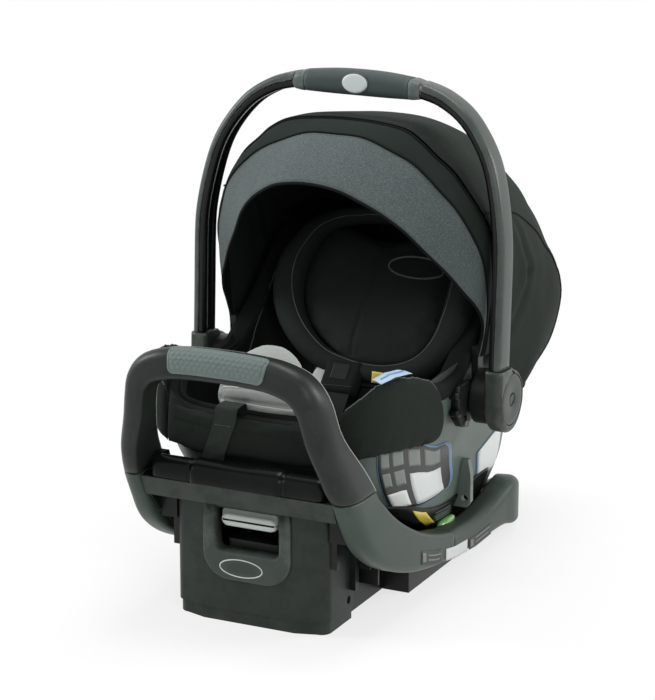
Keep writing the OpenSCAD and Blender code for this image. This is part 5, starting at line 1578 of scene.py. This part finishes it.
makeCanopy(canopyUse)
for name, material, edge in (("canopy_arms", blackSatin, 0.8), ("hub_housing_right", blackSatin, 1.0),
                             ("hub_housing_left", blackSatin, 1.0), ("hub_axles", steelBright, 0.4),
                             ("release_lever", bezelSatin, 1.0), ("release_housing", shellSatin, 1.2),
                             ("belt_guides", guideSatin, 1.4), ("latch_hooks", steelBright, 0.6)):
    dressNode(name, material, edge)
print("canopy made")

# blank sheets and tags

# angles from and to on the shell, shares of its height from and to, and how much taller the near end is
sheetUse = {"dark": (-42, -0.8, 0.268, 0.615, 0.22), "white": (1.3, 19.6, 0.095, 0.265),
            # blank fields on the dark sheet: where across and up it, and whether white
            "fields": [((0.07, 0.42, 0.07, 0.31), 1), ((0.52, 0.93, 0.05, 0.55), 1),
                       ((0.06, 0.2, 0.42, 0.64), 0), ((0.26, 0.44, 0.4, 0.64), 0),
                       ((0.06, 0.2, 0.72, 0.94), 0), ((0.26, 0.44, 0.72, 0.94), 0),
                       ((0.52, 0.7, 0.66, 0.92), 0), ((0.76, 0.93, 0.66, 0.92), 0)],
            # on the rail: y from and to, shift and height, whether white; and the rail's middle as y, z
            "rail": [((-153, -87), -8, 10, 0), ((-76, -8), -8, 8, 1), ((-3, 70), -8, 7, 0)],
            "railX": 165.45, "railLine": [(-170, 79), (-110, 60), (-50, 48), (20, 42), (80, 43)]}


def onShell(place, u, v, out):  # u and v from 0 to 1 across a sheet on the shell
    share = place[2] + (place[3] + (1 - u) * sum(place[4:]) - place[2]) * v
    angle = math.radians(place[0] + (place[1] - place[0]) * u)
    level = [share] + [np.interp(share, shellCurve[:, 0], shellCurve[:, k]) for k in (1, 2, 3)]
    return bucketPoint(level, angle, shellUse["floor"], -out)


def shellPatch(name, place, box, out, material, side, fine=14, corner=0.0):
    u0, u1, v0, v1 = box
    grid = []
    for j in range(fine + 1):
        narrow = 1 - corner * (2 * abs(j / fine - 0.5)) ** 6
        v = v0 + (v1 - v0) * j / fine
        grid.append([onShell(place, u0 + (u1 - u0) * (0.5 + (i / fine - 0.5) * narrow), v, out) * [side, 1, 1]
                     for i in range(fine + 1)])
    return settle(gridSheet(name, grid, material, 0.25), "carrier", slot="label_film")


def makeShellSheets(use):
    for side, name in bothSides:
        place = use["dark"]
        border = shellPatch(f"darkSheetEdge_{name}", place, (0, 1, 0, 1), 0.75, sheetBlue, side, corner=0.05)
        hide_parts("shell_labels")
        box = (0.012, 0.988, 0.022, 0.978)
        shellPatch(f"darkSheet_{name}", place, box, 0.95, sheetDark, side, corner=0.05)
        for k, (box, pale) in enumerate(use["fields"]):
            tone = sheetWhite if pale else sheetGrey
            shellPatch(f"sheetBox{k}_{name}", place, box, 1.12, tone, side, fine=6)
        place = use["white"]
        border = shellPatch(f"whiteSheetEdge_{name}", place, (0, 1, 0, 1), 0.75, sheetBlue, side)
        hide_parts("shell_labels")
        shellPatch(f"whiteSheet_{name}", place, (0.025, 0.975, 0.02, 0.98), 0.95, sheetWhite, side)


def makeRailSheets(use):
    middle = np.array(use["railLine"]).T
    for side, name in bothSides:
        for k, ((y0, y1), drop, tall, pale) in enumerate(use["rail"]):
            fields = [((y0, y1), -8, tall, 0, sheetWhite if pale else sheetDark)]
            if not pale:
                fields += [((y0 + 5, y0 + 15), -5, tall - 3, 0.2, sheetGrey),
                           ((y0 + 21, y1 - 6), 3, 5, 0.2, sheetGrey),
                           ((y0 + 21, y1 - 10), -3, -1, 0.2, sheetGrey)]
            for j, (part, low, high, lift, tone) in enumerate(fields):
                grid = [[(side * (use["railX"] + lift), y, np.interp(y, *middle) + drop + z)
                         for y in np.linspace(*part, 12)] for z in np.linspace(low, high, 5)]
                patch = gridSheet(f"railSheet{k}{j}_{name}", grid, tone, 0.2)
                settle(patch, "base", "rail_labels", slot="label_film")


makeShellSheets(sheetUse)
makeRailSheets(sheetUse)

# shares round the wing and reach across its top; then the corners of two flat tags
tagUse = {"careTag": ((0.53, 0.7), (-1, 17)), "white": [(-41, -19), (-19, -20), (-19, -44), (-43, -38)],
          "yellow": [(131, 322), (145, 322), (143, 308), (130, 308)]}


def cornerGrid(corners):  # a four-cornered cloth: corners run round it
    a, b, c, d = (np.array(q, float) for q in corners)
    share = np.linspace(0, 1, 7)
    return np.array([[(1 - v) * ((1 - u) * a + u * b) + v * ((1 - u) * d + u * c) for u in share]
                     for v in share])


def overWing(shares, reach, lift):  # rows across the right wing's top edge, which hang down outside it
    return [[wrapPoint(t, out, np.interp(t, *wrapHigh) + lift - 0.2 * max(out - 8, 0)) for t in shares]
            for out in reach]


def makeTags(use):
    # woven tag on the right wing's top edge, left blank
    (t0, t1), reach = use["careTag"]
    grid = overWing(np.linspace(t0, t1, 20), np.linspace(*reach, 8), 3.2)
    clothPiece("careTag", grid, sheetPaleBlue, 0.4, "carrier", held="laid", slot="label_film",
               rests=["wingPad_right"])
    stripe = overWing(np.linspace(t0 + 0.02, t1 - 0.02, 20), (7, 10), 3.6)
    settle(gridSheet("careTagBand", stripe, sheetBlue, 0.2), "carrier", slot="label_film")
    # blank tag beside the buckle, and a yellow one inside the wing
    flat = cornerGrid(use["white"])
    x, along = flat.reshape(-1, 2).T
    grid = onBack(np.column_stack([x, -24 - 3 * np.sin(along / 9), along])).reshape(*flat.shape[:2], 3)
    clothPiece("beltTag", grid, sheetWhite, 0.4, "carrier", held="laid", slot="label_film", rests=["seatPad"])
    flat = cornerGrid(use["yellow"])
    grid = np.stack([flat[..., 0], np.full(flat.shape[:2], -225.0), flat[..., 1]], -1)
    clothPiece("padTag", grid, sheetYellow, 0.4, "carrier", held="laid", slot="label_film", rests=["seatPad"])


makeTags(tagUse)

lipUse = {"angles": (-62, 8), "out": 1.9, "foot": 45.6, "fieldLift": 0.85,
          # angle, share of the shell's height at the lip's top edge
          "top": [(-62, 0.4), (-42, 0.34), (-25, 0.29), (-15, 0.225), (-5, 0.17), (8, 0.12)],
          # angles, shares up the lip and tone of the blank fields on it
          "fields": [((-26.5, -17.5), (0.12, 0.86), "yellow")]
                    + [((-17 + 1.5 * k, -3.5), (0.2 + 0.16 * k, 0.24 + 0.16 * k), "grey") for k in range(4)],
          # middle x, y and z, half length, radius
          "lens": (131, 1, 60.5, 23, 6.6)}


def makeCradleLip(use):  # the base's wall that stands up round the shell's foot; up -1 is its foot
    def lipGrid(angles, rise, out, side):
        grid = []
        for up in rise:
            row = []
            for angle in angles:
                top = np.interp(angle, *np.array(use["top"]).T)
                x, y, z = onShell((angle, angle, 0.02, top), 0, max(up, 0), out)
                row.append((side * x, y, z if up >= 0 else use["foot"]))
            grid.append(row)
        return grid

    for side, name in bothSides:
        grid = lipGrid(np.linspace(*use["angles"], 48), [-1, *np.linspace(0, 1, 14)], use["out"], side)
        settle(gridSheet(f"cradleLip_{name}", grid, deckGloss, 1.2), "base", slot="gloss_black")
        for k, (span, rise, tone) in enumerate(use["fields"]):
            lift = use["out"] + use["fieldLift"]
            grid = lipGrid(np.linspace(*span, 8), np.linspace(*rise, 6), lift, side)
            finish = sheetYellow if tone == "yellow" else sheetGrey
            settle(gridSheet(f"lipField{k}_{name}", grid, finish, 0.2), "base", slot="label_film")


def makeLens(use):  # the level's glass, a capsule lying in its bezel
    x, y, z, half, r = use["lens"]
    rings = []
    for a in np.linspace(-math.pi / 2, math.pi / 2, 15):
        w = math.cos(a) ** 0.6 if abs(a) < 1.57 else 0.02
        rings.append([(x + r * w * math.cos(t), y + half * math.sin(a), z + r * 0.85 * w * math.sin(t))
                      for t in turnOf(20)])
    settle(loft("levelLens", rings, lensGreen), "base", "level_lens")


makeCradleLip(lipUse)
makeLens(lipUse)
print("sheets and tags made")

for name in nodes:  # whatever is still bare gets plain black satin
    if not nodes[name].data.materials or nodes[name].data.materials[0] is None:
        dressNode(name, blackSatin, 0.8)

print("done")
